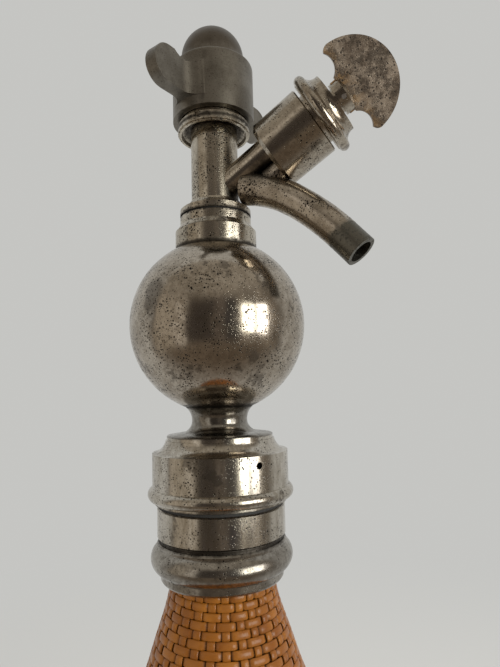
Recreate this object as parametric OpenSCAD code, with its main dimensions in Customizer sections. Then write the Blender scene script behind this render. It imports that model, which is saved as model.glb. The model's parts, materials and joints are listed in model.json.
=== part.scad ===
// Soda siphon with a wicker-covered bottle, a hollow globe, a bulb cap with
// two wings and a screw tap with a flat key. Millimetres, Z up. The base
// rests on z = 0, the bottle's axis is Z and the spout points along +X.

/* [Bottle and wicker] */
// How far the wicker reaches up inside the neck skirt
wicker_tuck = 2.2; // [1.5:0.1:2.6]
// Radius of the wicker at the neck
wicker_neck_r = 17; // [16:0.1:18]
// Radius of the wicker at the belly
belly_r = 61; // [54:0.5:72]
// Height of the belly above the table
belly_z = 92; // [80:1:105]
// Thickness of the wicker
wicker_t = 2.6; // [2:0.1:3.2]
// Radius of the foot rim
foot_r = 51; // [42:0.5:54]
// Height of the woven base
base_h = 9; // [7:0.5:12]
// Thickness of the glass
glass_t = 3.6; // [3:0.1:5]
// Radius of the bottle's mouth
mouth_r = 9.5; // [8.5:0.1:10]

/* [Neck fittings] */
// Bottom of the neck skirt
skirt_z = 214.8; // [203:0.1:238]
// Height of the rolled part of the skirt
skirt_h = 12; // [11:0.1:14]
// Radius of the rolled rim
skirt_r = 23.1; // [22.6:0.1:25]
// Height of the groove between skirt and sleeve
groove_h = 1.1; // [0.8:0.1:2]
// Radius of the neck sleeve
sleeve_r = 21; // [20.6:0.1:22]
// Height of the neck sleeve
sleeve_h = 9.6; // [8:0.1:14]
// Height of the black neck gasket
gasket_h = 1.2; // [0.8:0.1:2]
// Radius of the coupling nut's band
nut_r = 22.5; // [22:0.1:24]
// Height of the coupling nut
nut_h = 20.8; // [20:0.1:24]
// Radius of the coupling nut's thread
neck_thread_r = 18.4; // [17.5:0.1:19]
// Radius of the vent hole in the coupling nut
vent_r = 1.05; // [0.6:0.05:1.5]

/* [Globe and column] */
// Radius of the globe
globe_r = 29.7; // [26:0.1:34]
// Thickness of the globe's wall
globe_t = 1.5; // [1:0.1:2.5]
// Rise of the globe's centre above the coupling nut
globe_rise = 37.1; // [35:0.1:42]
// Radius of the pedestal's waist
waist_r = 9.3; // [8.8:0.1:11]
// Radius of the collar nut's lower ring
collar_r = 14.1; // [13.6:0.1:15.5]
// Height of the collar nut above the globe's edge
collar_h = 11.8; // [11:0.1:14]
// Radius of the collar nut's upper ring and of the column's foot
foot_flange_r = 12.4; // [12:0.1:13.4]
// Radius of the column
column_r = 8.3; // [7.8:0.1:9]
// Height of the column above the collar
column_h = 32.1; // [31:0.1:36]
// Radius of the riser tube
riser_r = 3.2; // [2.8:0.1:3.4]
// Bore of the riser tube
riser_bore = 2; // [1.2:0.1:2.3]

/* [Bulb and cap] */
// Radius of the gas bulb
bulb_r = 8.6; // [8:0.1:8.8]
// Radius of the gas bulb's neck
bulb_neck_r = 4.3; // [3.8:0.1:4.5]
// Radius of the holder's ring
holder_r = 12.8; // [12.4:0.1:14]
// Height of the holder's ring
holder_h = 3.7; // [3.2:0.1:5]
// Height of the holder's threaded neck
thread_h = 11.3; // [9:0.1:13]
// Gap that the cap can still close
cap_gap = 1.1; // [1.1:0.1:1.6]
// Radius of the cap
cap_r = 14.5; // [14:0.1:16]
// Radius of the cap's dome
dome_r = 11.3; // [11:0.1:12]
// Height of the cap's wall
cap_wall_h = 24.5; // [23.5:0.1:27]
// Thickness of a wing
wing_t = 4.6; // [3:0.1:5.5]
// Radius of a wing's round end
wing_r = 6.4; // [5.5:0.1:7]
// Distance of a wing's end centre from the axis
wing_reach = 24; // [21:0.1:25]
// Direction of the wings seen from above
wing_turn = 79.3; // [60:0.1:120]

/* [Tap] */
// Rise of the tap above the horizontal
tap_tilt = 29.9; // [26:0.1:33]
// Height of the tap's axis above the column's foot
tap_rise = 4.7; // [4.4:0.1:5.5]
// Radius of the tap body
tap_r = 11.6; // [11.4:0.1:12.5]
// Distance from the column to the tap body
tap_from = 25.9; // [25:0.1:27]
// Length of the tap body
tap_l = 17.7; // [17:0.1:20]
// Radius of the valve chamber
chamber_r = 8; // [7.8:0.1:8.3]
// Radius of the arm
arm_r = 5; // [4.6:0.1:5]
// Radius of the arm's bore
arm_bore = 2.6; // [2:0.1:3]
// Radius of the spindle
spindle_r = 4.2; // [3.6:0.1:4.6]
// Radius of the gland nut's rolled rim
gland_r = 13.95; // [13.5:0.05:15]
// Radius of the key plate
key_r = 15.25; // [14.5:0.05:17]
// Thickness of the key plate
key_t = 2.6; // [1.8:0.1:3]
// Turn of the key plate about the tap's axis
key_turn = 36; // [-90:1:90]

/* [Spout] */
// Outer radius of the spout
spout_r = 5.3; // [5:0.1:5.6]
// Bore of the spout
spout_bore = 3.9; // [3:0.1:4.2]
// Straight length at the mouth
spout_end = 8; // [7:0.5:14]
// Radius of the spout's first bend
bend_a_r = 40; // [38:1:44]
// Radius of the spout's second bend
bend_b_r = 90; // [80:1:100]

/* [Fits] */
// Radial clearance of brazed, screwed and sliding fits
fit = 0.05; // [0.02:0.01:0.08]
// Clearance of pieces that lie loosely together
loose = 0.3; // [0.2:0.05:0.4]

/* [Hidden] */
$fn = 96;
eps = 0.5;

// Colours
nickel = [0.56, 0.51, 0.44];
gunmetal = [0.30, 0.28, 0.25];
brass = [0.62, 0.50, 0.33];
steel = [0.62, 0.63, 0.64];
cane = [0.74, 0.46, 0.22];
glass = [0.55, 0.68, 0.62];
rubber = [0.13, 0.12, 0.11];
leather = [0.38, 0.25, 0.15];

// Levels of the neck, from the skirt up
wicker_top = skirt_z + wicker_tuck;
tube_sleeve_h = 12;
tube_sleeve_drop = 15;
skirt_bead = 4.6;
skirt_bead_rise = 6.9;
sleeve_z = skirt_z + skirt_h + groove_h;
gasket_z = sleeve_z + sleeve_h;
nut_z = gasket_z + gasket_h;
nut_top = nut_z + nut_h;
nut_bead = 2.2;
nut_bead_rise = 2.9;
nut_core_r = 17.7;
nut_lip_r = 21.9;
nut_scotia = 4.8;
nut_scotia_x = 22.9;
vent_rise = 13;
waist_scotia = 3.3;
waist_rise = 4.7;
foot_h = 1.4;
plug_h = 2.6;
nut_roof_t = 3.5;
plug_z = nut_top - nut_roof_t - plug_h;
washer_h = 1.9;
mouth_z = plug_z - washer_h;
sleeve_spigot_top = mouth_z - 1;
tail_r = 13;

// Levels of the globe, the collar and the column
globe_z = nut_top + globe_rise;
collar_z = globe_z + sqrt(pow(globe_r, 2) - pow(collar_r, 2));
collar_top = collar_z + collar_h;
collar_washer_h = 0.3;
column_z = collar_top + collar_washer_h;
column_top = column_z + column_h;
flange_h = 2.4;
flange_dome = 2.5;
boss_r = 10.4;
column_tail_r = 7.5;
column_tail_l = 10;

// The gas way inside the column, from the top down
column_bore = 6.35;
holder_tail_l = 5.5;
seal_h = 1.8;
pin_h = 2.7;
seal_z = column_top - holder_tail_l - seal_h;
pin_z = seal_z - pin_h;
ball_r = 2;
ball_z = pin_z - ball_r - fit;
check_bore = 3.2;
check_h = 7.5;
check_z = pin_z - check_h;
duct_r = 0.8;
duct_x = 5.4;
riser_top = column_z + 5;

// Levels of the holder, the bulb and the cap
holder_web = 1.7;
holder_z = column_top + holder_web - holder_h;
holder_top = column_top + holder_web;
holder_bore = bulb_r + 0.6;
thread_r = 11.85;
thread_top = holder_top + thread_h;
cap_z = holder_top + cap_gap;
dome_z = cap_z + cap_wall_h;
cap_shoulder = 5.3;
cap_t = 2.2;
cap_bore = thread_r + loose;
pad_r = 4.4;
pad_h = 1;
pad_z = dome_z + sqrt(pow(dome_r - cap_t, 2) - pow(pad_r, 2)) - loose - pad_h;
bulb_top = pad_z - loose;
bulb_neck_end = seal_z + seal_h + cap_gap;
bulb_neck_l = 6;
bulb_shoulder_l = 9;

// Stations along the tap's axis, from the column's axis outwards
tap_z = column_z + tap_rise;
tap_end = tap_from + tap_l;
tap_chamfer = 1.2;
tap_wall = 3.5;
floor_s = tap_from + tap_wall;
seat_r = 3.6;
seat_h = 1;
seat_bore = 2.4;
seat_s = floor_s + seat_h;
arm_rise = 2.6;
outlet_drop = 6.4;
outlet_r = 3.9;
outlet_bore = 2;
outlet_end = 20.5;
valve_washer_h = 1.6;
jumper_h = 1.4;
key_lift = 2.5;
jumper_s = seat_s + valve_washer_h;
packing_step = jumper_s + jumper_h + key_lift + eps;
packing_r = 8.8;
packing_washer_h = 0.6;
packing_h = 1.6;
gland_tail_s = packing_step + packing_washer_h + packing_h;
gland_back = tap_end + 0.9;
gland_face = gland_back + 7.6;
gland_bead = 1.75;
gland_cusp_r = 9.95;
spindle_s = jumper_s + jumper_h + loose;
head_r = 5.4;
head_s = gland_face + 0.7;
head_h = 3;
head_chamfer = 0.8;
key_pin_r = 0.8;
key_pin_s = head_s + 1.9;
key_centre = gland_face + 5.5;

// The spout's centre line in the XZ plane
spout_x = 11.8;
spout_z = column_z + 8.1;
spout_step = 0.05;
bend_a = [8, 35];
bend_b = [35, 49];
bend_a_cx = spout_x - bend_a_r * sin(bend_a[0]);
bend_a_cz = spout_z - bend_a_r * cos(bend_a[0]);
bend_ab_x = bend_a_cx + bend_a_r * sin(bend_a[1]);
bend_ab_z = bend_a_cz + bend_a_r * cos(bend_a[1]);
bend_b_cx = bend_ab_x - bend_b_r * sin(bend_b[0]);
bend_b_cz = bend_ab_z - bend_b_r * cos(bend_b[0]);
spout_end_x = bend_b_cx + bend_b_r * sin(bend_b[1]);
spout_end_z = bend_b_cz + bend_b_r * cos(bend_b[1]);

// Point of a cubic curve with the four control points p
function curve(p, t) =
    pow(1 - t, 3) * p[0] + 3 * t * pow(1 - t, 2) * p[1]
    + 3 * t * t * (1 - t) * p[2] + pow(t, 3) * p[3];

// Outline of the pear-shaped wicker, drawn in by dr, from top to bottom
function pear(dr, top, bottom, steps = 22) =
    let(
        upper = [
            [wicker_neck_r, top],
            [wicker_neck_r, top - 39],
            [belly_r - 1, belly_z + 57],
            [belly_r, belly_z]
        ],
        lower = [
            [belly_r, belly_z],
            [belly_r, belly_z - 38],
            [foot_r + 5, bottom + 22],
            [foot_r, bottom]
        ]
    )
    concat(
        [for (i = [0:steps]) curve(upper, i / steps) - [dr, 0]],
        [for (i = [1:steps]) curve(lower, i / steps) - [dr, 0]]
    );

// Places its children on the tap's axis: X points outwards along it
module on_tap(s = 0, up = 0)
    translate([0, 0, tap_z])
        rotate([0, -tap_tilt, 0])
            translate([s, 0, up])
                children();

// Round bar along the tap's axis from s to s + l
module bar(r, s, l, up = 0)
    on_tap(s, up)
        rotate([0, 90, 0])
            cylinder(r = r, h = l);

// Turned piece on the tap's axis: the outline's x is the radius, y the station
module turned_on_tap()
    on_tap()
        rotate([0, 90, 0])
            rotate_extrude()
                children();

module tube(r, bore, z, h)
    translate([0, 0, z])
        rotate_extrude()
            translate([bore, 0])
                square([r - bore, h]);

module globe_shell()
    translate([0, 0, globe_z])
        difference() {
            sphere(r = globe_r);
            sphere(r = globe_r - globe_t);
        }

// ---- Bottle and wicker ----

module wicker_base()
    color(cane)
        rotate_extrude()
            polygon([
                [0, 0], [foot_r - 2, 0], [foot_r, 2],
                [foot_r, base_h - 1], [foot_r - 1, base_h], [0, base_h]
            ]);

module wicker_cover() {
    outer = pear(0, wicker_top, base_h);
    inner = pear(wicker_t, wicker_top, base_h);
    color(cane)
        rotate_extrude()
            polygon(concat(outer, [for (i = [len(inner) - 1:-1:0]) inner[i]]));
}

module bottle() {
    outer = pear(wicker_t + loose, wicker_top, base_h);
    inner = pear(wicker_t + loose + glass_t, wicker_top, base_h + glass_t);
    neck_r = wicker_neck_r - wicker_t - loose;
    color(glass)
        rotate_extrude()
            polygon(concat(
                [[mouth_r, mouth_z], [neck_r, mouth_z]],
                outer,
                [[0, base_h], [0, base_h + glass_t]],
                [for (i = [len(inner) - 1:-1:0])
                    if (inner[i][0] > mouth_r) inner[i]],
                [[mouth_r, wicker_top + 4]]
            ));
}

module dip_tube()
    color(glass)
        difference() {
            translate([0, 0, base_h + glass_t + 4])
                cylinder(r = riser_r - 0.2, h = mouth_z - 9 - base_h - glass_t - 4);
            translate([0, 0, base_h])
                cylinder(r = riser_bore - 0.2, h = mouth_z);
        }

module tube_sleeve()
    color(rubber)
        tube(riser_r + 1.4, riser_r + fit, mouth_z - tube_sleeve_drop, tube_sleeve_h);

// ---- Neck fittings ----

module neck_skirt() {
    neck_r = wicker_neck_r - wicker_t;
    bead_z = skirt_z + skirt_bead_rise;
    color(nickel)
        rotate_extrude()
            difference() {
                union() {
                    // Rolled rim between the plain skirt and the sleeve
                    translate([skirt_r - skirt_bead, bead_z])
                        circle(r = skirt_bead);
                    polygon([
                        [0, skirt_z], [19.6, skirt_z],
                        [20, skirt_z + 0.6], [20, skirt_z + 2.4],
                        [skirt_r - 2.4, bead_z], [skirt_r - 2, skirt_z + skirt_h - 0.6],
                        [skirt_r - 2.5, skirt_z + skirt_h], [0, skirt_z + skirt_h]
                    ]);
                    // Narrow step that shows as the groove
                    translate([0, skirt_z + skirt_h - eps])
                        square([sleeve_r - 0.8, groove_h + eps]);
                }
                square([neck_r, nut_z]);
                // Room for the end of the wicker
                translate([0, skirt_z - eps])
                    square([wicker_neck_r + 1, wicker_top - skirt_z + 1 + eps]);
            }
}

module neck_sleeve() {
    neck_r = wicker_neck_r - wicker_t;
    color(nickel)
        rotate_extrude()
            polygon([
                [neck_r, sleeve_z], [sleeve_r - 0.5, sleeve_z],
                [sleeve_r, sleeve_z + 0.5], [sleeve_r, gasket_z - 0.4],
                [sleeve_r - 0.4, gasket_z], [neck_thread_r, gasket_z],
                [neck_thread_r, sleeve_spigot_top], [neck_r, sleeve_spigot_top]
            ]);
}

module neck_gasket()
    color(rubber)
        tube(sleeve_r - 0.6, neck_thread_r + fit, gasket_z, gasket_h);

module coupling_nut()
    color(nickel)
        difference() {
            rotate_extrude()
                difference() {
                    union() {
                        // Foot ring, bead and band
                        translate([0, nut_z])
                            square([nut_r - 0.7, 1.5]);
                        translate([nut_r - 0.7, nut_z + nut_bead_rise])
                            circle(r = nut_bead);
                        translate([0, nut_z + 2])
                            square([nut_r, nut_h - 5.9]);
                        translate([0, nut_z])
                            square([nut_core_r, nut_h]);
                        translate([0, nut_z + nut_h - 5])
                            square([nut_lip_r, 4]);
                    }
                    // Scotia below the top edge
                    translate([nut_scotia_x, nut_top - 0.2])
                        circle(r = nut_scotia);
                    // Thread, roof and the hole for the pedestal's tail
                    translate([0, nut_z - eps])
                        square([neck_thread_r + fit, nut_h - nut_roof_t + eps]);
                    square([tail_r + fit, nut_top + eps]);
                    square([nut_r + 3, nut_z]);
                }
            // Vent hole
            translate([0, 0, nut_z + vent_rise])
                rotate([0, 90, -29.7])
                    translate([0, 0, neck_thread_r - 1])
                        cylinder(r = vent_r, h = 6);
        }

module mouth_washer()
    color(rubber)
        tube(tail_r + 1, mouth_r, mouth_z, washer_h);

module head_plug()
    color(brass)
        tube(neck_thread_r - 0.8, tail_r + fit, plug_z, plug_h);

module pedestal()
    color(nickel)
        difference() {
            rotate_extrude()
                difference() {
                    union() {
                        // Tail through the coupling nut
                        translate([0, plug_z])
                            square([tail_r, nut_top - plug_z + eps]);
                        // Foot that covers the nut
                        polygon([
                            [0, nut_top], [nut_core_r, nut_top], [nut_core_r, nut_top + 0.4],
                            [13.4, nut_top + 1.2], [11.3, nut_top + foot_h], [0, nut_top + foot_h]
                        ]);
                        translate([0, nut_top])
                            square([waist_r + 1.4, 11]);
                        translate([0, nut_top + 8])
                            square([7.9, 4]);
                    }
                    // Hollow waist
                    translate([waist_r + waist_scotia, nut_top + waist_rise])
                        circle(r = waist_scotia);
                    // Gas way
                    translate([0, plug_z + 2])
                        square([6.5, nut_h + 20]);
                    square([riser_r + fit, nut_top]);
                }
            // Seat on the globe
            difference() {
                translate([0, 0, globe_z])
                    sphere(r = globe_r + fit);
                translate([0, 0, nut_top])
                    cylinder(r = 7.9, h = 14);
            }
            // Gas holes round the riser
            for (a = [0, 120, 240])
                rotate([0, 0, a])
                    translate([5, 0, plug_z - eps])
                        cylinder(r = 1, h = 4);
        }

module riser_tube()
    color(brass)
        tube(riser_r, riser_bore, mouth_z - 8.8, riser_top - fit - mouth_z + 8.8);

// ---- Globe, collar and column ----

module globe_lower()
    color(nickel)
        difference() {
            intersection() {
                globe_shell();
                translate([0, 0, globe_z - globe_r])
                    cylinder(r = globe_r + 1, h = globe_r);
            }
            translate([0, 0, globe_z - globe_r - 1])
                cylinder(r = 7.9 + fit, h = 6);
        }

module globe_upper()
    color(nickel)
        difference() {
            intersection() {
                globe_shell();
                translate([0, 0, globe_z])
                    cylinder(r = globe_r + 1, h = globe_r);
            }
            translate([0, 0, globe_z + globe_r - 6])
                cylinder(r = boss_r - 1 + fit, h = 8);
        }

module collar_boss()
    color(brass) {
        tube(boss_r - 1, column_tail_r + fit, collar_z, collar_h - 0.4);
        // Shoulder that rests on the globe
        difference() {
            tube(boss_r, column_tail_r + fit, collar_z, collar_h - 0.4);
            translate([0, 0, globe_z])
                sphere(r = globe_r + fit);
        }
    }

module collar_nut()
    color(nickel)
        difference() {
            rotate_extrude()
                polygon([
                    [boss_r + fit, collar_z - 1], [collar_r, collar_z - 1],
                    [collar_r, collar_z + 6.4], [collar_r - 0.5, collar_z + 6.9],
                    [foot_flange_r, collar_z + 8.7],
                    [foot_flange_r, collar_top - 0.3], [foot_flange_r - 0.3, collar_top],
                    [boss_r + fit, collar_top]
                ]);
            translate([0, 0, globe_z])
                sphere(r = globe_r + fit);
        }

module collar_washer()
    color(rubber)
        tube(foot_flange_r - 0.5, column_tail_r + fit, collar_top, collar_washer_h);

module column()
    color(nickel)
        difference() {
            rotate_extrude()
                difference() {
                    union() {
                        translate([0, column_z - column_tail_l])
                            square([column_tail_r, column_tail_l + 1]);
                        translate([0, column_z])
                            square([foot_flange_r, flange_h - 0.3]);
                        translate([0, column_z])
                            square([foot_flange_r - 0.3, flange_h]);
                        // Cove from the flange to the column
                        difference() {
                            translate([0, column_z + flange_h])
                                square([foot_flange_r - 0.6, flange_dome]);
                            translate([foot_flange_r, column_z + flange_h + 3.4])
                                circle(r = 3.4);
                        }
                        translate([0, column_z])
                            square([column_r, column_h]);
                    }
                    translate([0, pin_z])
                        square([column_bore, column_h]);
                    translate([0, check_z])
                        square([check_bore, column_h]);
                    translate([0, column_z - column_tail_l - 1])
                        square([riser_r + fit, column_tail_l + 1 + riser_top - column_z]);
                    translate([0, riser_top - eps])
                        square([riser_bore, 2.5]);
                }
            bar(arm_bore, 1.3, 20, arm_rise);
            // Gas duct: slanting past the riser, then straight down
            duct_bend = column_z + 6;
            duct_rise = check_z + 0.4 - duct_bend;
            duct_run = duct_x - 1.5;
            translate([-duct_x, 0, duct_bend])
                rotate([0, atan(duct_run / duct_rise), 0])
                    cylinder(r = duct_r, h = norm([duct_run, duct_rise]));
            translate([-duct_x, 0, column_z - column_tail_l - 1])
                cylinder(r = duct_r + 0.15, h = duct_bend - column_z + column_tail_l + 1.7);
        }

// ---- Bulb, check valve and cap ----

module bulb_holder()
    color(nickel)
        difference() {
            rotate_extrude()
                difference() {
                    union() {
                        translate([0, holder_z])
                            square([holder_r - 0.4, holder_h]);
                        translate([0, holder_z + 0.5])
                            square([holder_r, holder_h - 0.9]);
                        translate([0, holder_top])
                            square([thread_r, thread_h]);
                        translate([0, column_top - holder_tail_l])
                            square([column_bore - fit, holder_tail_l]);
                    }
                    // Dished underside round the column
                    polygon([
                        [column_bore - fit, column_top], [column_bore - fit, holder_z - 1],
                        [holder_r - 0.9, holder_z - 1], [holder_r - 1.6, holder_z + 1.2],
                        [column_r + 1, column_top]
                    ]);
                    // Way for the bulb
                    polygon([
                        [0, holder_z - 10], [bulb_neck_r + 0.4, holder_z - 10],
                        [bulb_neck_r + 0.4, bulb_neck_end + bulb_neck_l - 1.8],
                        [holder_bore, bulb_neck_end + bulb_neck_l + bulb_shoulder_l - 1.2],
                        [holder_bore, thread_top + eps], [0, thread_top + eps]
                    ]);
                }
            // Slot that lets the last gas out as the cap is unscrewed
            rotate([0, 0, -86.7])
                translate([holder_r - 0.8, -0.8, holder_top - 2])
                    cube([2, 1.6, 3]);
        }

module bulb_seal()
    color(rubber)
        tube(column_bore - fit, 1.2, seal_z, seal_h);

module piercing_pin()
    color(steel)
        difference() {
            union() {
                translate([0, 0, pin_z])
                    cylinder(r = column_bore - fit, h = pin_h);
                translate([0, 0, pin_z + pin_h])
                    cylinder(r = 0.8, h = seal_h);
                translate([0, 0, seal_z + seal_h])
                    cylinder(r1 = 0.8, r2 = 0.1, h = 0.5);
            }
            // Seat of the check ball and the gas holes beside the pin
            translate([0, 0, pin_z - eps])
                cylinder(r = 1.2, h = 1.4 + eps);
            for (a = [0, 180])
                rotate([0, 0, a])
                    translate([1.05, 0, pin_z + 1])
                        cylinder(r = 0.2, h = pin_h);
        }

module check_ball()
    color(steel)
        translate([0, 0, ball_z])
            sphere(r = ball_r, $fn = 32);

// Compression spring of round wire as one swept tube
module check_spring() {
    wire_r = 0.3;
    coil_r = 2.1;
    turns = 4;
    rings = turns * 14;
    sides = 6;
    bottom = check_z + wire_r;
    top = ball_z - sqrt(pow(ball_r + wire_r, 2) - pow(coil_r, 2)) - 0.1;
    function wire_centre(i) =
        [coil_r * cos(i * 360 * turns / rings), coil_r * sin(i * 360 * turns / rings),
         bottom + (top - bottom) * i / rings];
    function wire_point(i, j) =
        let(a = i * 360 * turns / rings, b = j * 360 / sides)
        wire_centre(i) + [wire_r * cos(b) * cos(a), wire_r * cos(b) * sin(a), wire_r * sin(b)];
    points = [for (i = [0:rings]) for (j = [0:sides - 1]) wire_point(i, j)];
    walls = [for (i = [0:rings - 1]) for (j = [0:sides - 1])
        let(k = (j + 1) % sides, a = i * sides, b = (i + 1) * sides)
        each [[a + j, a + k, b + k], [a + j, b + k, b + j]]];
    first = [for (j = [1:sides - 2]) [0, j + 1, j]];
    last = [for (j = [1:sides - 2]) rings * sides * [1, 1, 1] + [0, j, j + 1]];
    color(steel)
        polyhedron(points, concat(walls, first, last));
}

module gas_bulb() {
    body_z = bulb_neck_end + bulb_neck_l + bulb_shoulder_l;
    color(steel)
        rotate_extrude()
            difference() {
                union() {
                    intersection() {
                        translate([0, bulb_top - bulb_r])
                            circle(r = bulb_r);
                        translate([0, body_z])
                            square([bulb_r, bulb_top]);
                    }
                    translate([0, body_z - 0.01])
                        square([bulb_r, bulb_top - bulb_r - body_z + 0.01]);
                    polygon([
                        [0, bulb_neck_end], [bulb_neck_r, bulb_neck_end],
                        [bulb_neck_r, bulb_neck_end + bulb_neck_l],
                        [bulb_r, body_z], [0, body_z]
                    ]);
                }
                // Hollow with its pierced neck
                polygon([
                    [0, bulb_neck_end - eps], [1.4, bulb_neck_end - eps],
                    [1.4, bulb_neck_end + bulb_neck_l],
                    [bulb_r - 2, body_z + 1], [bulb_r - 2, bulb_top - bulb_r],
                    [bulb_r - 4, bulb_top - 3], [0, bulb_top - 2]
                ]);
            }
}

module cap_pad()
    color(leather)
        translate([0, 0, pad_z])
            cylinder(r = pad_r, h = pad_h);

// Side view of one wing: a round tab that narrows a little at its root
module wing_outline() {
    wing_z = cap_z + 9.8;
    translate([wing_reach, wing_z])
        circle(r = wing_r);
    difference() {
        translate([cap_r - 3, wing_z - wing_r])
            square([wing_reach - cap_r + 3, 2 * wing_r]);
        translate([cap_r + 2.6, wing_z + wing_r + 6])
            circle(r = 7.6);
    }
}

module wing_cap() {
    root_r = 5;
    color(gunmetal)
        difference() {
            union() {
                rotate_extrude()
                    union() {
                        difference() {
                            translate([0, cap_z])
                                square([cap_r, cap_wall_h]);
                            // Rounded shoulder below the dome
                            difference() {
                                translate([dome_r - 1.3, dome_z - cap_shoulder])
                                    square([cap_r, cap_shoulder + 1]);
                                translate([dome_r - 1.3, dome_z - cap_shoulder])
                                    scale([1, 1.15])
                                        circle(r = cap_r - dome_r + 1.3);
                            }
                        }
                        translate([0, cap_z])
                            square([dome_r, cap_wall_h]);
                        intersection() {
                            translate([0, dome_z])
                                circle(r = dome_r);
                            translate([0, dome_z - 1])
                                square([dome_r, dome_r + 1]);
                        }
                    }
                for (side = [0, 180])
                    rotate([0, 0, wing_turn + side])
                        intersection() {
                            rotate([90, 0, 0])
                                linear_extrude(30, center = true)
                                    wing_outline();
                            // Plan view: a straight tab with a hollow fillet at each side
                            translate([0, 0, cap_z])
                                linear_extrude(cap_wall_h)
                                    difference() {
                                        translate([cap_r - 3, -wing_t / 2 - root_r])
                                            square([wing_reach + wing_r, wing_t + 2 * root_r]);
                                        for (m = [-1, 1])
                                            fillet_void(m, root_r);
                                    }
                        }
            }
            // Thread and the room for the bulb
            translate([0, 0, cap_z - eps])
                cylinder(r = cap_bore, h = thread_h - cap_gap + 1.5 + eps);
            translate([0, 0, cap_z])
                cylinder(r = dome_r - cap_t, h = cap_wall_h);
            translate([0, 0, dome_z])
                sphere(r = dome_r - cap_t);
        }
}

// What the wing's hollow fillet on side m leaves out in plan
module fillet_void(m, root_r) {
    x0 = cap_r + root_r - 1.2;
    translate([x0, m * (wing_t / 2 + root_r)])
        circle(r = root_r);
    translate([x0, m > 0 ? wing_t / 2 : -wing_t / 2 - root_r])
        square([wing_reach + wing_r, root_r]);
}

// ---- Tap ----

module arm()
    color(nickel)
        difference() {
            bar(arm_r, 2, tap_from - 2, arm_rise);
            bar(arm_bore, 1, tap_from, arm_rise);
            cylinder(r = column_r + fit, h = column_top);
        }

module tap_body()
    color(nickel)
        difference() {
            turned_on_tap()
                polygon([
                    [0, tap_from], [tap_r - tap_chamfer, tap_from],
                    [tap_r, tap_from + tap_chamfer], [tap_r, tap_end - 0.4],
                    [tap_r - 0.4, tap_end], [0, tap_end]
                ]);
            // Chamber with its raised seat
            turned_on_tap()
                polygon([
                    [seat_bore, tap_from + 0.6], [0, tap_from + 0.6], [0, tap_end + eps],
                    [packing_r + fit, tap_end + eps], [packing_r + fit, packing_step],
                    [chamber_r, packing_step], [chamber_r, floor_s],
                    [seat_r, floor_s], [seat_r, seat_s], [seat_bore, seat_s]
                ]);
            bar(arm_bore, tap_from - eps, 1.5 + eps, arm_rise);
            bar(outlet_bore, tap_from - eps, tap_wall + 2 * eps, -outlet_drop);
        }

// Round bend in the XZ plane about cx, cz, from angle a[0] to a[1] off the vertical
module bend(r, ring_r, cx, cz, a)
    translate([cx, 0, cz])
        rotate([90, 0, 0])
            rotate([0, 0, 90 - a[1]])
                rotate_extrude(angle = a[1] - a[0])
                    translate([ring_r, 0])
                        circle(r = r, $fn = 48);

// The spout's whole length as a bar of radius r at the mouth. Each earlier
// stretch is thicker by step, and the thinner of two neighbours laps into
// the thicker one, so that the stretches join without a seam.
module spout_bar(r, step, from, past = 0) {
    lap = 1;
    back = step > 0 ? lap : 0;
    on = step < 0 ? lap : 0;
    a_on = on / bend_a_r * 180 / PI;
    b_back = back / bend_b_r * 180 / PI;
    b_on = on / bend_b_r * 180 / PI;
    bend(r + 2 * step, bend_a_r, bend_a_cx, bend_a_cz, [from, bend_a[1] + a_on]);
    bend(r + step, bend_b_r, bend_b_cx, bend_b_cz, [bend_b[0] - b_back, bend_b[1] + b_on]);
    translate([spout_end_x, 0, spout_end_z])
        rotate([0, 90 + bend_b[1], 0])
            translate([0, 0, -back])
                cylinder(r = r, h = spout_end + past + back);
}

// Bent tube with a closed inner end and the short outlet that feeds it
module spout()
    color(nickel)
        difference() {
            union() {
                spout_bar(spout_r, spout_step, bend_a[0]);
                bar(outlet_r, outlet_end, tap_from - outlet_end, -outlet_drop);
            }
            spout_bar(spout_bore, -spout_step, bend_a[0] + 4, 1);
            bar(outlet_bore, outlet_end - 3, tap_from, -outlet_drop);
            bar(arm_r + fit, 0, tap_from + 4, arm_rise);
        }

module valve_washer()
    color(rubber)
        difference() {
            bar(seat_r + 0.8, seat_s, valve_washer_h);
            bar(1, seat_s - eps, valve_washer_h + 2 * eps);
        }

module valve_jumper()
    color(brass) {
        bar(seat_r + 1.2, jumper_s, jumper_h);
        bar(1 - fit, seat_s + 0.2, valve_washer_h);
        bar(2, jumper_s, jumper_h + 4);
    }

module packing_washer()
    color(brass)
        difference() {
            bar(packing_r - fit, packing_step, packing_washer_h);
            bar(spindle_r + fit, packing_step - eps, packing_washer_h + 2 * eps);
        }

module gland_packing()
    color(leather)
        difference() {
            bar(packing_r - fit, packing_step + packing_washer_h, packing_h);
            bar(spindle_r + fit, packing_step, packing_h + 2);
        }

module gland_nut()
    color(nickel)
        turned_on_tap()
            difference() {
                union() {
                    translate([0, gland_tail_s])
                        square([packing_r - fit, gland_face - gland_tail_s - 0.3]);
                    translate([gland_r - gland_bead, gland_back + gland_bead + 0.25])
                        circle(r = gland_bead);
                    difference() {
                        translate([0, gland_back])
                            square([gland_r - gland_bead, gland_face - gland_back - 0.3]);
                        // Cove between the rim and the cusp
                        translate([gland_cusp_r + 3.25, gland_face - 0.8])
                            circle(r = 3.25);
                    }
                    polygon([
                        [0, gland_face - 1], [gland_cusp_r - 0.4, gland_face - 0.4],
                        [head_r + 0.4, gland_face], [0, gland_face]
                    ]);
                }
                square([spindle_r + fit, gland_face + 2]);
                // Keeps the cusp's front free
                translate([gland_cusp_r, gland_face - 0.55])
                    square([8, 3]);
            }

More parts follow.
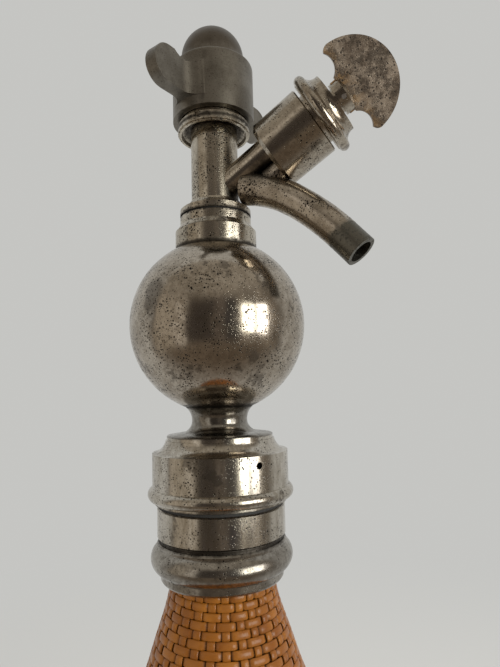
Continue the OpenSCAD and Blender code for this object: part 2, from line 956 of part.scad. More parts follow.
module spindle()
    color(brass)
        difference() {
            union() {
                bar(spindle_r, spindle_s, head_s - spindle_s + 0.2);
                turned_on_tap()
                    polygon([
                        [0, head_s], [head_r, head_s], [head_r, head_s + head_h],
                        [head_r - head_chamfer, head_s + head_h + head_chamfer],
                        [0, head_s + head_h + head_chamfer]
                    ]);
            }
            // Hole for the jumper's stem
            bar(2 + fit, spindle_s - eps, 5);
            // Slot for the key plate and the hole for its pin
            key_place()
                linear_extrude(key_t + 2 * fit, center = true)
                    translate([head_s + 0.8, -10])
                        square([10, 20]);
            key_pin_bar(key_pin_r + fit, 3 * head_r);
        }

// Places a flat piece in the key's plane: its x runs along the tap's axis
module key_place()
    on_tap()
        rotate([key_turn, 0, 0])
            rotate([90, 0, 0])
                children();

// Outline of the key plate: a disc with two round notches and blunt horns
module key_outline() {
    notch_r = 5.1;
    notch_t = 10.6;
    notch_s = key_centre - 4.6;
    horn_r = 2.2;
    horn_s = key_centre + 1.6;
    horn_t = sqrt(pow(key_r - horn_r, 2) - pow(horn_s - key_centre, 2));
    difference() {
        union() {
            intersection() {
                translate([key_centre, 0])
                    circle(r = key_r);
                translate([horn_s, -key_r])
                    square([key_r, 2 * key_r]);
            }
            translate([horn_s - horn_r, -horn_t])
                square([horn_r + 0.01, 2 * horn_t]);
            for (m = [-1, 1])
                translate([horn_s, m * horn_t])
                    circle(r = horn_r);
            translate([head_s + 0.8 + fit, -notch_t + notch_r - 0.1])
                square([key_centre - head_s, 2 * (notch_t - notch_r) + 0.2]);
            translate([key_centre - 2, -notch_t])
                square([3, 2 * notch_t]);
        }
        for (m = [-1, 1])
            translate([notch_s, m * notch_t])
                circle(r = notch_r);
    }
}

module wing_key()
    color(brass)
        difference() {
            key_place()
                linear_extrude(key_t, center = true)
                    key_outline();
            key_pin_bar(key_pin_r + fit, 2 * key_t);
        }

// Bar across the key plate at its pin
module key_pin_bar(r, l)
    key_place()
        translate([key_pin_s, 0, 0])
            cylinder(r = r, h = l, center = true);

module key_pin()
    color(steel)
        key_pin_bar(key_pin_r, 2 * head_r - 1);

wicker_base();
wicker_cover();
bottle();
dip_tube();
tube_sleeve();
neck_skirt();
neck_sleeve();
neck_gasket();
coupling_nut();
mouth_washer();
head_plug();
pedestal();
riser_tube();
globe_lower();
globe_upper();
collar_boss();
collar_nut();
collar_washer();
column();
bulb_holder();
bulb_seal();
piercing_pin();
check_ball();
check_spring();
gas_bulb();
cap_pad();
wing_cap();
arm();
tap_body();
spout();
valve_washer();
valve_jumper();
packing_washer();
gland_packing();
gland_nut();
spindle();
wing_key();
key_pin();
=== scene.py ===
"""Looks of a soda siphon with a wicker-covered bottle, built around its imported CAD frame.

Lengths are in metres, Z up, in the frame's own axes: the base rests on z = 0, the
bottle's axis is Z and the spout points along +X. Profiles are lists of (radius, height).
"""

from __future__ import annotations

import functools
import json
import logging
import math
from dataclasses import dataclass
from enum import Enum
from typing import Any

import bmesh
import bpy
import numpy as np
from mathutils import Matrix, Vector

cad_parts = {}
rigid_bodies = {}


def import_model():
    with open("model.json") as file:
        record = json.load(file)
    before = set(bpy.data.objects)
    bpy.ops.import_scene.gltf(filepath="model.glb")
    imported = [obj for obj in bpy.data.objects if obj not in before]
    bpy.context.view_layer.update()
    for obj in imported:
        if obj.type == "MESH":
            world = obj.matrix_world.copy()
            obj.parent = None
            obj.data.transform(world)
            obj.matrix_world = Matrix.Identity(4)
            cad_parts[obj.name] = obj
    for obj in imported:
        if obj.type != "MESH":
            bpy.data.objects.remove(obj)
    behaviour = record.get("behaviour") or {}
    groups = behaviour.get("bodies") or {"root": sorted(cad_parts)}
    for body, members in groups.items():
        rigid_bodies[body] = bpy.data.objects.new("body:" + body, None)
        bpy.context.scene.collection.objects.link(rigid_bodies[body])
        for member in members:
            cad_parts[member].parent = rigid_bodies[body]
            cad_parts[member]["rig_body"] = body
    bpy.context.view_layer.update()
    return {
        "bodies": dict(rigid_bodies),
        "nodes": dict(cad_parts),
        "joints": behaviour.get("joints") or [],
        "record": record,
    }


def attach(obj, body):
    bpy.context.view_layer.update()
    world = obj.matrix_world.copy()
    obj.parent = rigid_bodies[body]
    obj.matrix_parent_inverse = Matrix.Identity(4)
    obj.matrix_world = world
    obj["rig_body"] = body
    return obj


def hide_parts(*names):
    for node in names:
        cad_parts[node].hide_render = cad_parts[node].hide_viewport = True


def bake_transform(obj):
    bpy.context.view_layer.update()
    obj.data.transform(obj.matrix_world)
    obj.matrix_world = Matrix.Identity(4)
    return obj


LOG = logging.getLogger("siphon")
MM = 0.001
RGB = tuple[float, float, float]
Spot = tuple[float, float, float, float]
Array = np.ndarray


# ---- Shader maths ----


@dataclass(frozen=True)
class Wire:
    """One output socket of a shader graph, on which arithmetic adds Math nodes."""

    graph: "Graph"
    socket: bpy.types.NodeSocket

    def _math(self, operation: str, *values: Any) -> "Wire":
        """Adds one Math node.

        Args:
            operation: Blender's name of the operation.
            values: its inputs in order, wires or numbers.

        Returns:
            The node's value.
        """
        return self.graph.node("ShaderNodeMath", {"operation": operation}, dict(enumerate(values)))

    def __add__(self, other: Any) -> "Wire":
        """Sum."""
        return self._math("ADD", self, other)

    __radd__ = __add__

    def __sub__(self, other: Any) -> "Wire":
        """Difference."""
        return self._math("SUBTRACT", self, other)

    def __rsub__(self, other: Any) -> "Wire":
        """Difference with this wire on the right."""
        return self._math("SUBTRACT", other, self)

    def __mul__(self, other: Any) -> "Wire":
        """Product."""
        return self._math("MULTIPLY", self, other)

    __rmul__ = __mul__

    def __truediv__(self, other: Any) -> "Wire":
        """Quotient."""
        return self._math("DIVIDE", self, other)

    def power(self, exponent: float) -> "Wire":
        """This wire raised to a fixed exponent."""
        return self._math("POWER", self, exponent)

    def most(self, other: Any) -> "Wire":
        """The larger of two values."""
        return self._math("MAXIMUM", self, other)

    def size(self) -> "Wire":
        """This wire without its sign."""
        return self._math("ABSOLUTE", self)

    def rise(self, low: Any, high: Any) -> "Wire":
        """Smooth step.

        Args:
            low: value below which the result is 0.
            high: value above which the result is 1.

        Returns:
            The step's height from 0 to 1.
        """
        return self.graph.node(
            "ShaderNodeMapRange",
            {"interpolation_type": "SMOOTHSTEP"},
            {"Value": self, "From Min": low, "From Max": high},
        )


class Graph:
    """Node tree of one material or world."""

    def __init__(self, tree: bpy.types.NodeTree) -> None:
        """Clears the tree.

        Args:
            tree: the node tree to fill.
        """
        self.tree = tree
        tree.nodes.clear()

    def node(
        self,
        kind: str,
        settings: dict[str, Any] | None = None,
        inputs: dict[Any, Any] | None = None,
        output: Any = 0,
    ) -> Wire:
        """Adds a node.

        Args:
            kind: the node's Blender type.
            settings: its properties, set first.
            inputs: values or wires by socket name or number.
            output: name or number of the output that is returned.

        Returns:
            The chosen output.
        """
        made = self.tree.nodes.new(kind)
        for name, value in (settings or {}).items():
            setattr(made, name, value)
        for key, value in (inputs or {}).items():
            socket = made.inputs[key]
            if isinstance(value, Wire):
                self.tree.links.new(value.socket, socket)
            elif socket.type == "RGBA" and len(value) == 3:
                socket.default_value = (*value, 1.0)
            else:
                socket.default_value = value
        return Wire(self, made.outputs[output])

    def finish(self, kind: str, shader: Wire) -> None:
        """Adds the output node.

        Args:
            kind: the output node's Blender type.
            shader: what it shows.
        """
        self.tree.links.new(shader.socket, self.tree.nodes.new(kind).inputs["Surface"])

    def mix(self, share: Any, first: Any, second: Any) -> Wire:
        """Mixes two colours.

        Args:
            share: how much of the second colour shows, from 0 to 1.
            first: colour or wire.
            second: colour or wire.

        Returns:
            The mixed colour.
        """
        made = self.tree.nodes.new("ShaderNodeMix")
        made.data_type = "RGBA"
        for index, value in ((0, share), (6, first), (7, second)):
            if isinstance(value, Wire):
                self.tree.links.new(value.socket, made.inputs[index])
            elif index:
                made.inputs[index].default_value = (*value, 1.0)
            else:
                made.inputs[index].default_value = value
        return Wire(self, made.outputs[2])

    def place(self, stretch: tuple[float, float, float] = (1, 1, 1)) -> Wire:
        """Object coordinates in metres, stretched along each axis."""
        at = self.node("ShaderNodeTexCoord", output="Object")
        if stretch == (1, 1, 1):
            return at
        return self.node("ShaderNodeMapping", None, {"Vector": at, "Scale": stretch})

    def noise(self, at: Wire, size: float, detail: float = 2.0, rough: float = 0.5) -> Wire:
        """Cloudy noise from 0 to 1.

        Args:
            at: position in metres.
            size: rough width of one cloud in metres.
            detail: number of finer layers.
            rough: strength of the finer layers.

        Returns:
            The noise.
        """
        return self.node(
            "ShaderNodeTexNoise",
            None,
            {"Vector": at, "Scale": 1 / size, "Detail": detail, "Roughness": rough},
        )

    def dots(self, at: Wire, cell: float, least: float, most: float, share: Any = 1.0) -> Wire:
        """Round dots of mixed sizes, one at most in each cell.

        Args:
            at: position in metres.
            cell: cell width in metres.
            least: smallest dot radius, in cells.
            most: largest dot radius, in cells.
            share: wire or number that the radii are multiplied by.

        Returns:
            Mask, 1 in a dot and 0 between.
        """
        made = self.tree.nodes.new("ShaderNodeTexVoronoi")
        made.inputs["Scale"].default_value = 1 / cell
        self.tree.links.new(at.socket, made.inputs["Vector"])
        split = self.node("ShaderNodeSeparateColor", None, {"Color": Wire(self, made.outputs["Color"])})
        radius = (split.power(2.0) * (most - least) + least) * share
        return 1 - (Wire(self, made.outputs["Distance"]) / radius.most(0.001)).rise(0.75, 1.15)

    def along(self, at: Wire, way: tuple[float, float, float]) -> Wire:
        """Distance of a place along a direction, in metres."""
        return self.node("ShaderNodeVectorMath", {"operation": "DOT_PRODUCT"}, {0: at, 1: way}, "Value")

    def rays(self, *kinds: str) -> Wire:
        """Mask of the rays of the named kinds.

        Args:
            kinds: such as Camera or Glossy.

        Returns:
            Mask, 1 for a ray of any of them.
        """
        path = self.tree.nodes.new("ShaderNodeLightPath")
        return functools.reduce(Wire.most, [Wire(self, path.outputs[f"Is {kind} Ray"]) for kind in kinds])


class Finish:
    """A finish that can be laid on any number of pieces."""

    name = "finish"

    def surface(self, graph: Graph) -> dict[str, Any]:
        """How the finish looks. Each finish gives its own.

        Args:
            graph: the material's graph.

        Returns:
            Inputs of the Principled shader, by socket name.
        """
        raise NotImplementedError

    def material(self) -> bpy.types.Material:
        """The Blender material, made at its first use.

        Returns:
            The material.
        """
        made = bpy.data.materials.get(self.name)
        if made is None:
            made = bpy.data.materials.new(self.name)
            made.use_nodes = True
            graph = Graph(made.node_tree)
            graph.finish("ShaderNodeOutputMaterial",
                         graph.node("ShaderNodeBsdfPrincipled", None, self.surface(graph)))
        return made


def bump(graph: Graph, height: Wire, depth: float, strength: float = 1.0) -> Wire:
    """Normal from a height.

    Args:
        graph: the material's graph.
        height: height from 0 to 1.
        depth: depth in metres of a height of 1.
        strength: share of the effect.

    Returns:
        The normal.
    """
    return graph.node("ShaderNodeBump", None, {"Height": height, "Distance": depth, "Strength": strength})


@dataclass(frozen=True)
class WornPlate(Finish):
    """Nickel plate with clouds of tarnish, dark patches and many fine dark pits.

    bright and dull are the colours of clean and tarnished plate, gloss is the roughness
    of clean plate, wear the size of the pits, streak how far the clouds are drawn out
    upwards, and seams are the heights of dirty grooves. The corner spots and the stains
    hold the middle and radius, in millimetres, of each corner where parts meet, darkened
    by grime and by painted shade, and of each dark patch.
    """

    name: str = "worn_nickel"
    bright: RGB = (0.530, 0.470, 0.395)
    dull: RGB = (0.300, 0.252, 0.196)
    gloss: float = 0.10
    wear: float = 1.0
    streak: float = 1.0
    seams: tuple[float, ...] = ()
    joint_shade_and_grime: tuple[Spot, ...] = ()
    stains: tuple[Spot, ...] = ()
    pit_tone: RGB = (0.014, 0.011, 0.009)
    grain_tone: RGB = (0.085, 0.070, 0.055)
    patch_tone: RGB = (0.075, 0.060, 0.047)
    # Colour of dirt, and of the painted shade in the corners where parts meet.
    dirt_and_shade_tone: RGB = (0.022, 0.017, 0.013)
    bare_tone: RGB = (0.120, 0.116, 0.098)
    ragged: float = 1.6 * MM
    seam_core: float = 0.1 * MM
    seam_edge: float = 1.3 * MM

    def bare_end(self, graph: Graph, at: Wire) -> Wire | None:
        """Where the plate has gone and dark metal shows, or None."""
        return None

    def near(self, graph: Graph, at: Wire, spot: Spot, ragged: Wire, core: float) -> Wire:
        """Mask of the ball round a spot, faded towards its edge.

        Args:
            graph: the material's graph.
            at: position in metres.
            spot: the ball's middle and radius in millimetres.
            ragged: length in metres that is added to the distance.
            core: share of the radius within which the mask is 1.

        Returns:
            The mask.
        """
        middle, radius = tuple(value * MM for value in spot[:3]), spot[3]
        distance = graph.node("ShaderNodeVectorMath", {"operation": "DISTANCE"}, {0: at, 1: middle}, "Value")
        return 1 - (distance + ragged).rise(core * radius * MM, radius * MM)

    def dirt_and_shade(self, graph: Graph, at: Wire) -> Wire | None:
        """Dirt in the grooves, and dirt with painted shade in the corners where parts meet, ragged by a fine
        noise.

        Args:
            graph: the material's graph.
            at: position in metres.

        Returns:
            Mask of the dirt and painted shade, or None where there is none.
        """
        ragged = (graph.noise(at, self.ragged, 3.0, 0.6) - 0.5) * self.ragged
        masks = []
        for seam in self.seams:
            gap = (graph.along(at, (0, 0, 1)) - seam).size() + ragged
            masks.append(1 - gap.rise(self.seam_core, self.seam_edge))
        # Corner spots where parts meet: grime, and shade painted into the colour.
        masks += [self.near(graph, at, spot, ragged * 3, 0.35) for spot in self.joint_shade_and_grime]
        return functools.reduce(Wire.most, masks) if masks else None

    def surface(self, graph: Graph) -> dict[str, Any]:
        """Nodes of the finish.

        Args:
            graph: the material's graph.

        Returns:
            Inputs of the Principled shader, by socket name.
        """
        at = graph.place()
        drawn = graph.place((1, 1, 1 / self.streak)) if self.streak != 1 else at
        clouds = graph.noise(drawn, 12 * MM, 4.0, 0.6)
        haze = graph.noise(drawn, 1.5 * MM, 4.0, 0.7)
        tarnish = clouds.rise(0.38, 0.64) * 0.5 + haze.rise(0.36, 0.68) * 0.5
        patches = graph.noise(at, 13 * MM, 4.0, 0.7).rise(0.60, 0.67)
        density = graph.noise(at, 8 * MM, 3.0).rise(0.34, 0.64) * 0.7 + 0.5
        fine = graph.dots(at, 0.62 * MM, 0.13, 0.48, density * self.wear)
        coarse = graph.dots(at, 1.8 * MM, 0.05, 0.20, density * self.wear)
        grain = graph.noise(at, 0.34 * MM, 2.0, 0.6).rise(0.50, 0.72) * density
        pits = (fine * 0.90).most(coarse)
        colour = graph.mix(tarnish, self.bright, self.dull)
        colour = graph.mix(grain * 0.55, colour, self.grain_tone)
        for spot in self.stains:
            patches = patches.most(self.near(graph, at, spot, (haze - 0.5) * 5 * MM, 0.6))
        colour = graph.mix(patches * 0.60, colour, self.patch_tone)
        colour = graph.mix(pits, colour, self.pit_tone)
        rough = tarnish * 0.13 + patches * 0.12 + grain * 0.10 + pits * 0.25 + self.gloss
        dirt_and_shade = self.dirt_and_shade(graph, at)
        if dirt_and_shade is not None:
            # Dirt in the grooves; dirt and painted shade in the corners where parts meet.
            colour = graph.mix(dirt_and_shade * 0.88, colour, self.dirt_and_shade_tone)
            rough = rough + dirt_and_shade * 0.25
        bare = self.bare_end(graph, at)
        if bare is not None:
            colour = graph.mix(bare, colour, self.bare_tone)
            rough = rough + bare * 0.20
        return {
            "Base Color": colour,
            "Roughness": rough,
            "Metallic": 1.0,
            "Normal": bump(graph, 1 - pits, 0.04 * MM, 0.5),
        }


@dataclass(frozen=True)
class SpoutPlate(WornPlate):
    """Worn plate that is gone for the last stretch before the spout's mouth."""

    name: str = "worn_nickel_spout"
    wear: float = 1.25
    mouth_way: tuple[float, float, float] = (0.656059, 0.0, -0.75471)
    bare_from: float = -212.8 * MM
    bare_to: float = -209.8 * MM

    def bare_end(self, graph: Graph, at: Wire) -> Wire | None:
        """Mask of the bare stretch: distance along the mouth's direction, with a ragged edge."""
        ragged = graph.noise(at, 2.6 * MM, 3.0, 0.6) * 5 * MM
        return (graph.along(at, self.mouth_way) + ragged).rise(self.bare_from, self.bare_to) * 0.9


@dataclass(frozen=True)
class SatinCap(Finish):
    """Dark satin metal with faint turning marks, clouds of brown and a browner dome."""

    name: str = "dark_satin"
    tone: RGB = (0.245, 0.224, 0.190)
    shade: RGB = (0.130, 0.114, 0.092)
    dome: RGB = (0.110, 0.091, 0.073)
    speck: RGB = (0.040, 0.034, 0.028)
    dome_height: float = 393 * MM
    fade: float = 2.5 * MM

    def surface(self, graph: Graph) -> dict[str, Any]:
        """Nodes of the finish.

        Args:
            graph: the material's graph.

        Returns:
            Inputs of the Principled shader, by socket name.
        """
        at = graph.place()
        lines = graph.noise(graph.place((0.15, 0.15, 6)), 1.0 * MM, 2.0)
        clouds = graph.noise(at, 8 * MM, 4.0, 0.65)
        grain = graph.noise(at, 0.45 * MM, 2.0, 0.6)
        specks = graph.dots(at, 0.9 * MM, 0.05, 0.26)
        mask = clouds.rise(0.36, 0.66) * 0.6 + grain.rise(0.45, 0.70) * 0.4
        height = graph.along(at, (0, 0, 1)) + (clouds - 0.5) * 5 * MM
        dome = height.rise(self.dome_height - self.fade, self.dome_height + self.fade)
        colour = graph.mix(dome * 0.7, graph.mix(mask, self.tone, self.shade), self.dome)
        return {
            "Base Color": graph.mix(specks * 0.6, colour, self.speck),
            "Roughness": lines * 0.08 + clouds * 0.10 + 0.30,
            "Metallic": 1.0,
            "Normal": bump(graph, lines * 0.6 + grain * 0.4, 0.02 * MM, 0.5),
        }


@dataclass(frozen=True)
class PatinaPlate(Finish):
    """Key plate whose plating is mostly gone: tan and brown, with brass showing at its neck."""

    name: str = "key_patina"
    tan: RGB = (0.430, 0.350, 0.275)
    brown: RGB = (0.190, 0.145, 0.108)
    patch: RGB = (0.085, 0.066, 0.050)
    gold: RGB = (0.60, 0.350, 0.130)
    dark: RGB = (0.032, 0.025, 0.020)
    axis: tuple[float, float, float] = (0.866897, 0.0, 0.498488)
    neck: float = 219.5 * MM

    def surface(self, graph: Graph) -> dict[str, Any]:
        """Nodes of the finish.

        Args:
            graph: the material's graph.

        Returns:
            Inputs of the Principled shader, by socket name.
        """
        at = graph.place()
        clouds = graph.noise(at, 5 * MM, 4.0, 0.65)
        grain = graph.noise(at, 0.50 * MM, 3.0, 0.7)
        patches = graph.noise(at, 4.5 * MM, 4.0, 0.75).rise(0.47, 0.58)
        beyond = graph.along(at, self.axis).rise(self.neck + 1 * MM, self.neck + 12 * MM)
        gold = graph.noise(at, 3 * MM, 4.0, 0.7).rise(0.44, 0.58) * (1 - beyond)
        dots = graph.dots(at, 0.85 * MM, 0.08, 0.44)
        colour = graph.mix(clouds.rise(0.38, 0.62), self.tan, self.brown)
        colour = graph.mix(patches * 0.75, colour, self.patch)
        colour = graph.mix(gold * 0.9, colour, self.gold)
        dark = (grain.rise(0.54, 0.68) * 0.60).most(dots * 0.85)
        return {
            "Base Color": graph.mix(dark, colour, self.dark),
            "Roughness": grain * 0.15 + dark * 0.20 + 0.32,
            "Metallic": 0.62,
            "Normal": bump(graph, 1 - dark, 0.06 * MM, 0.8),
        }


@dataclass(frozen=True)
class PlainMetal(Finish):
    """Turned metal of one colour with a light grain."""

    name: str = "plain_brass"
    tone: RGB = (0.62, 0.48, 0.27)
    gloss: float = 0.28

    def surface(self, graph: Graph) -> dict[str, Any]:
        """Nodes of the finish.

        Args:
            graph: the material's graph.

        Returns:
            Inputs of the Principled shader, by socket name.
        """
        grain = graph.noise(graph.place(), 1.5 * MM, 4.0, 0.6)
        darker = tuple(0.6 * c for c in self.tone)
        return {
            "Base Color": graph.mix(grain.rise(0.4, 0.7), self.tone, darker),
            "Roughness": grain * 0.15 + self.gloss,
            "Metallic": 1.0,
            "Normal": bump(graph, grain, 0.01 * MM, 0.4),
        }


@dataclass(frozen=True)
class Dull(Finish):
    """Rubber or leather: a dark matt surface with a fine grain."""

    name: str = "black_rubber"
    tone: RGB = (0.018, 0.017, 0.016)
    light: RGB = (0.040, 0.037, 0.034)

    def surface(self, graph: Graph) -> dict[str, Any]:
        """Nodes of the finish.

        Args:
            graph: the material's graph.

        Returns:
            Inputs of the Principled shader, by socket name.
        """
        grain = graph.noise(graph.place(), 0.6 * MM, 3.0, 0.6)
        return {
            "Base Color": graph.mix(grain, self.tone, self.light),
            "Roughness": grain * 0.2 + 0.55,
            "Normal": bump(graph, grain, 0.03 * MM, 0.5),
        }


@dataclass(frozen=True)
class Glass(Finish):
    """Pressed glass with a faint ripple."""

    name: str = "bottle_glass"
    tone: RGB = (0.30, 0.37, 0.33)
    deep: RGB = (0.22, 0.29, 0.25)

    def surface(self, graph: Graph) -> dict[str, Any]:
        """Nodes of the finish.

        Args:
            graph: the material's graph.

        Returns:
            Inputs of the Principled shader, by socket name.
        """
        ripple = graph.noise(graph.place(), 9 * MM, 2.0)
        return {
            "Base Color": graph.mix(ripple, self.tone, self.deep),
            "Roughness": 0.05,
            "Transmission Weight": 0.9,
            "IOR": 1.5,
            "Normal": bump(graph, ripple, 0.2 * MM, 0.4),
        }


@dataclass(frozen=True)
class Cane(Finish):
    """Varnished cane strip: colour changes from stretch to stretch, with fibres along it, and shade is
    painted where it dips under its neighbours and at its edges.
    """

    name: str = "varnished_cane"
    pale: RGB = (0.355, 0.128, 0.013)
    deep: RGB = (0.190, 0.056, 0.005)
    # Colour of the painted shade under neighbouring strands and at strip edges.
    gap: RGB = (0.024, 0.009, 0.004)

    def surface(self, graph: Graph) -> dict[str, Any]:
        """Nodes of the finish.

        Args:
            graph: the material's graph.

        Returns:
            Inputs of the Principled shader, by socket name.
        """
        strip = graph.node("ShaderNodeUVMap", {"uv_map": "strip"})
        along = graph.node("ShaderNodeMapping", None, {"Vector": strip, "Scale": (0.07, 1.0, 1.0)})
        across = graph.node("ShaderNodeMapping", None, {"Vector": strip, "Scale": (1.0, 0.02, 1.0)})
        fibres = graph.noise(along, 0.16 * MM, 3.0, 0.6)
        stretch = graph.noise(across, 7 * MM, 1.0)
        clouds = graph.noise(graph.place(), 16 * MM, 3.0, 0.6)
        tone = stretch.rise(0.30, 0.70) * 0.55 + fibres * 0.25 + clouds.rise(0.35, 0.65) * 0.3 - 0.05
        colour = graph.mix(tone, self.pale, self.deep)
        # Painted shade: the depth attribute darkens stretches under neighbouring strands and the strip's
        # edges.
        depth = graph.node("ShaderNodeAttribute", {"attribute_name": "depth"}, output="Fac")
        painted_shade = depth.rise(0.20, 0.80)
        return {
            "Base Color": graph.mix(painted_shade * 0.95, colour, self.gap),
            "Roughness": fibres * 0.16 + painted_shade * 0.3 + 0.30,
            "Coat Weight": 0.32 - painted_shade * 0.32,
            "Specular IOR Level": 0.25,
            "Coat Roughness": 0.16,
            "Normal": bump(graph, fibres, 0.06 * MM, 0.55),
        }


# ---- Meshes ----


def link(name: str, data: bpy.types.ID) -> bpy.types.Object:
    """Puts a mesh, lamp or camera into the scene.

    Args:
        name: the object's name.
        data: what it shows.

    Returns:
        The new object, at the origin.
    """
    made = bpy.data.objects.new(name, data)
    bpy.context.scene.collection.objects.link(made)
    return made


def copy_node(frame: dict[str, Any], node: str, name: str) -> bpy.types.Object:
    """Puts a bare copy of a CAD node into the scene.

    Args:
        frame: the loaded frame.
        node: the node's name.
        name: the copy's name.

    Returns:
        The copy, without materials.
    """
    mesh = frame["nodes"][node].data.copy()
    mesh.materials.clear()
    return link(name, mesh)


def add_piece(
    name: str, points: Array, faces: Array, strip: Array | None = None, depth: Array | None = None
) -> bpy.types.Object:
    """Puts a quad mesh into the scene.

    Args:
        name: the piece's name.
        points: (n, 3) points in metres.
        faces: (m, 4) point numbers.
        strip: (n, 2) place of each point along and across its strip, in metres.
        depth: (n,) painted shade of each point, from 0 to 1, more where it is hidden under its neighbours.

    Returns:
        The new object, at the origin.
    """
    mesh = bpy.data.meshes.new(name)
    mesh.vertices.add(len(points))
    mesh.vertices.foreach_set("co", points.astype(np.float32).ravel())
    mesh.loops.add(faces.size)
    mesh.loops.foreach_set("vertex_index", faces.astype(np.int32).ravel())
    mesh.polygons.add(len(faces))
    mesh.polygons.foreach_set("loop_start", np.arange(0, faces.size, 4, dtype=np.int32))
    mesh.polygons.foreach_set("use_smooth", np.ones(len(faces), dtype=bool))
    mesh.update(calc_edges=True)
    if strip is not None:
        layer = mesh.uv_layers.new(name="strip")
        layer.data.foreach_set("uv", strip[faces.ravel()].astype(np.float32).ravel())
    if depth is not None:
        mesh.attributes.new("depth", "FLOAT", "POINT").data.foreach_set("value", depth.astype(np.float32))
    return link(name, mesh)


def wall_faces(rings: int, sides: int, joined: bool = False) -> Array:
    """Quads between neighbouring rings of points.

    Args:
        rings: number of rings.
        sides: number of points round each ring.
        joined: whether the last ring is joined to the first.

    Returns:
        (m, 4) point numbers.
    """
    ring, side = np.meshgrid(np.arange(rings if joined else rings - 1), np.arange(sides), indexing="ij")
    start, after, beside = ring * sides, (ring + 1) % rings * sides, (side + 1) % sides
    return np.stack([start + side, start + beside, after + beside, after + side], axis=-1).reshape(-1, 4)


def turned(outline: Array, sides: int) -> Array:
    """Points of an outline turned round Z: (r cos a, r sin a, z) for each place and angle.

    Args:
        outline: (n, 2) places as (radius, height).
        sides: number of angles.

    Returns:
        (n * sides, 3) points, ring after ring.
    """
    a = np.linspace(0, 2 * math.pi, sides, endpoint=False)
    r, z = outline[:, 0], np.broadcast_to(outline[:, 1:], (len(outline), sides))
    return np.stack([np.outer(r, np.cos(a)), np.outer(r, np.sin(a)), z], axis=-1).reshape(-1, 3)


def tube_faces(rings: int, sides: int, start: int = 0) -> Array:
    """Faces of a closed strip: a wall of quads between rings, and both ends closed.

    Args:
        rings: number of rings along the strip.
        sides: number of points round each ring, even.
        start: number of the strip's first point.

    Returns:
        (m, 4) point numbers, pointing outwards where rings turn anticlockwise seen from
        the strip's end.
    """
    half = np.arange(sides // 2 - 1)
    first = np.stack([half, sides - 1 - half, sides - 2 - half, half + 1], axis=-1)
    last = (rings - 1) * sides + first[:, ::-1]
    return np.concatenate([wall_faces(rings, sides), first, last]) + start


@dataclass
class Profile:
    """A turned outline that a weave follows: points from one end to the other."""

    points: Array

    def __post_init__(self) -> None:
        """Measures the length along the outline up to each point."""
        steps = np.linalg.norm(np.diff(self.points, axis=0), axis=1)
        self.lengths = np.concatenate([[0.0], np.cumsum(steps)])

    @property
    def length(self) -> float:
        """Whole length of the outline."""
        return float(self.lengths[-1])

    def place(self, along: Array) -> Array:
        """Places on the outline, as (radius, height), at lengths from its start."""
        return np.stack([np.interp(along, self.lengths, self.points[:, i]) for i in (0, 1)], axis=-1)

    def at(self, along: Array) -> tuple[Array, Array]:
        """Place and outward direction on the outline, the chord over 0.8 mm each way turned square.

        Args:
            along: lengths from the start.

        Returns:
            (n, 2) points and (n, 2) unit normals, both as (radius, height).
        """
        way = self.place(along + 0.8 * MM) - self.place(along - 0.8 * MM)
        way /= np.maximum(np.linalg.norm(way, axis=1, keepdims=True), 1e-9)
        return self.place(along), np.stack([-way[:, 1], way[:, 0]], axis=-1)


def bezier(points: list[tuple[float, float]], count: int) -> Array:
    """Points of a cubic curve with four control points.

    Args:
        points: control points.
        count: number of steps.

    Returns:
        (count + 1, 2) points: (1-t)^3 a + 3t(1-t)^2 b + 3t^2(1-t) c + t^3 d.
    """
    a, b, c, d = (np.array(p) for p in points)
    t = np.linspace(0, 1, count + 1)[:, None]
    return (1 - t) ** 3 * a + 3 * t * (1 - t) ** 2 * b + 3 * t * t * (1 - t) * c + t**3 * d


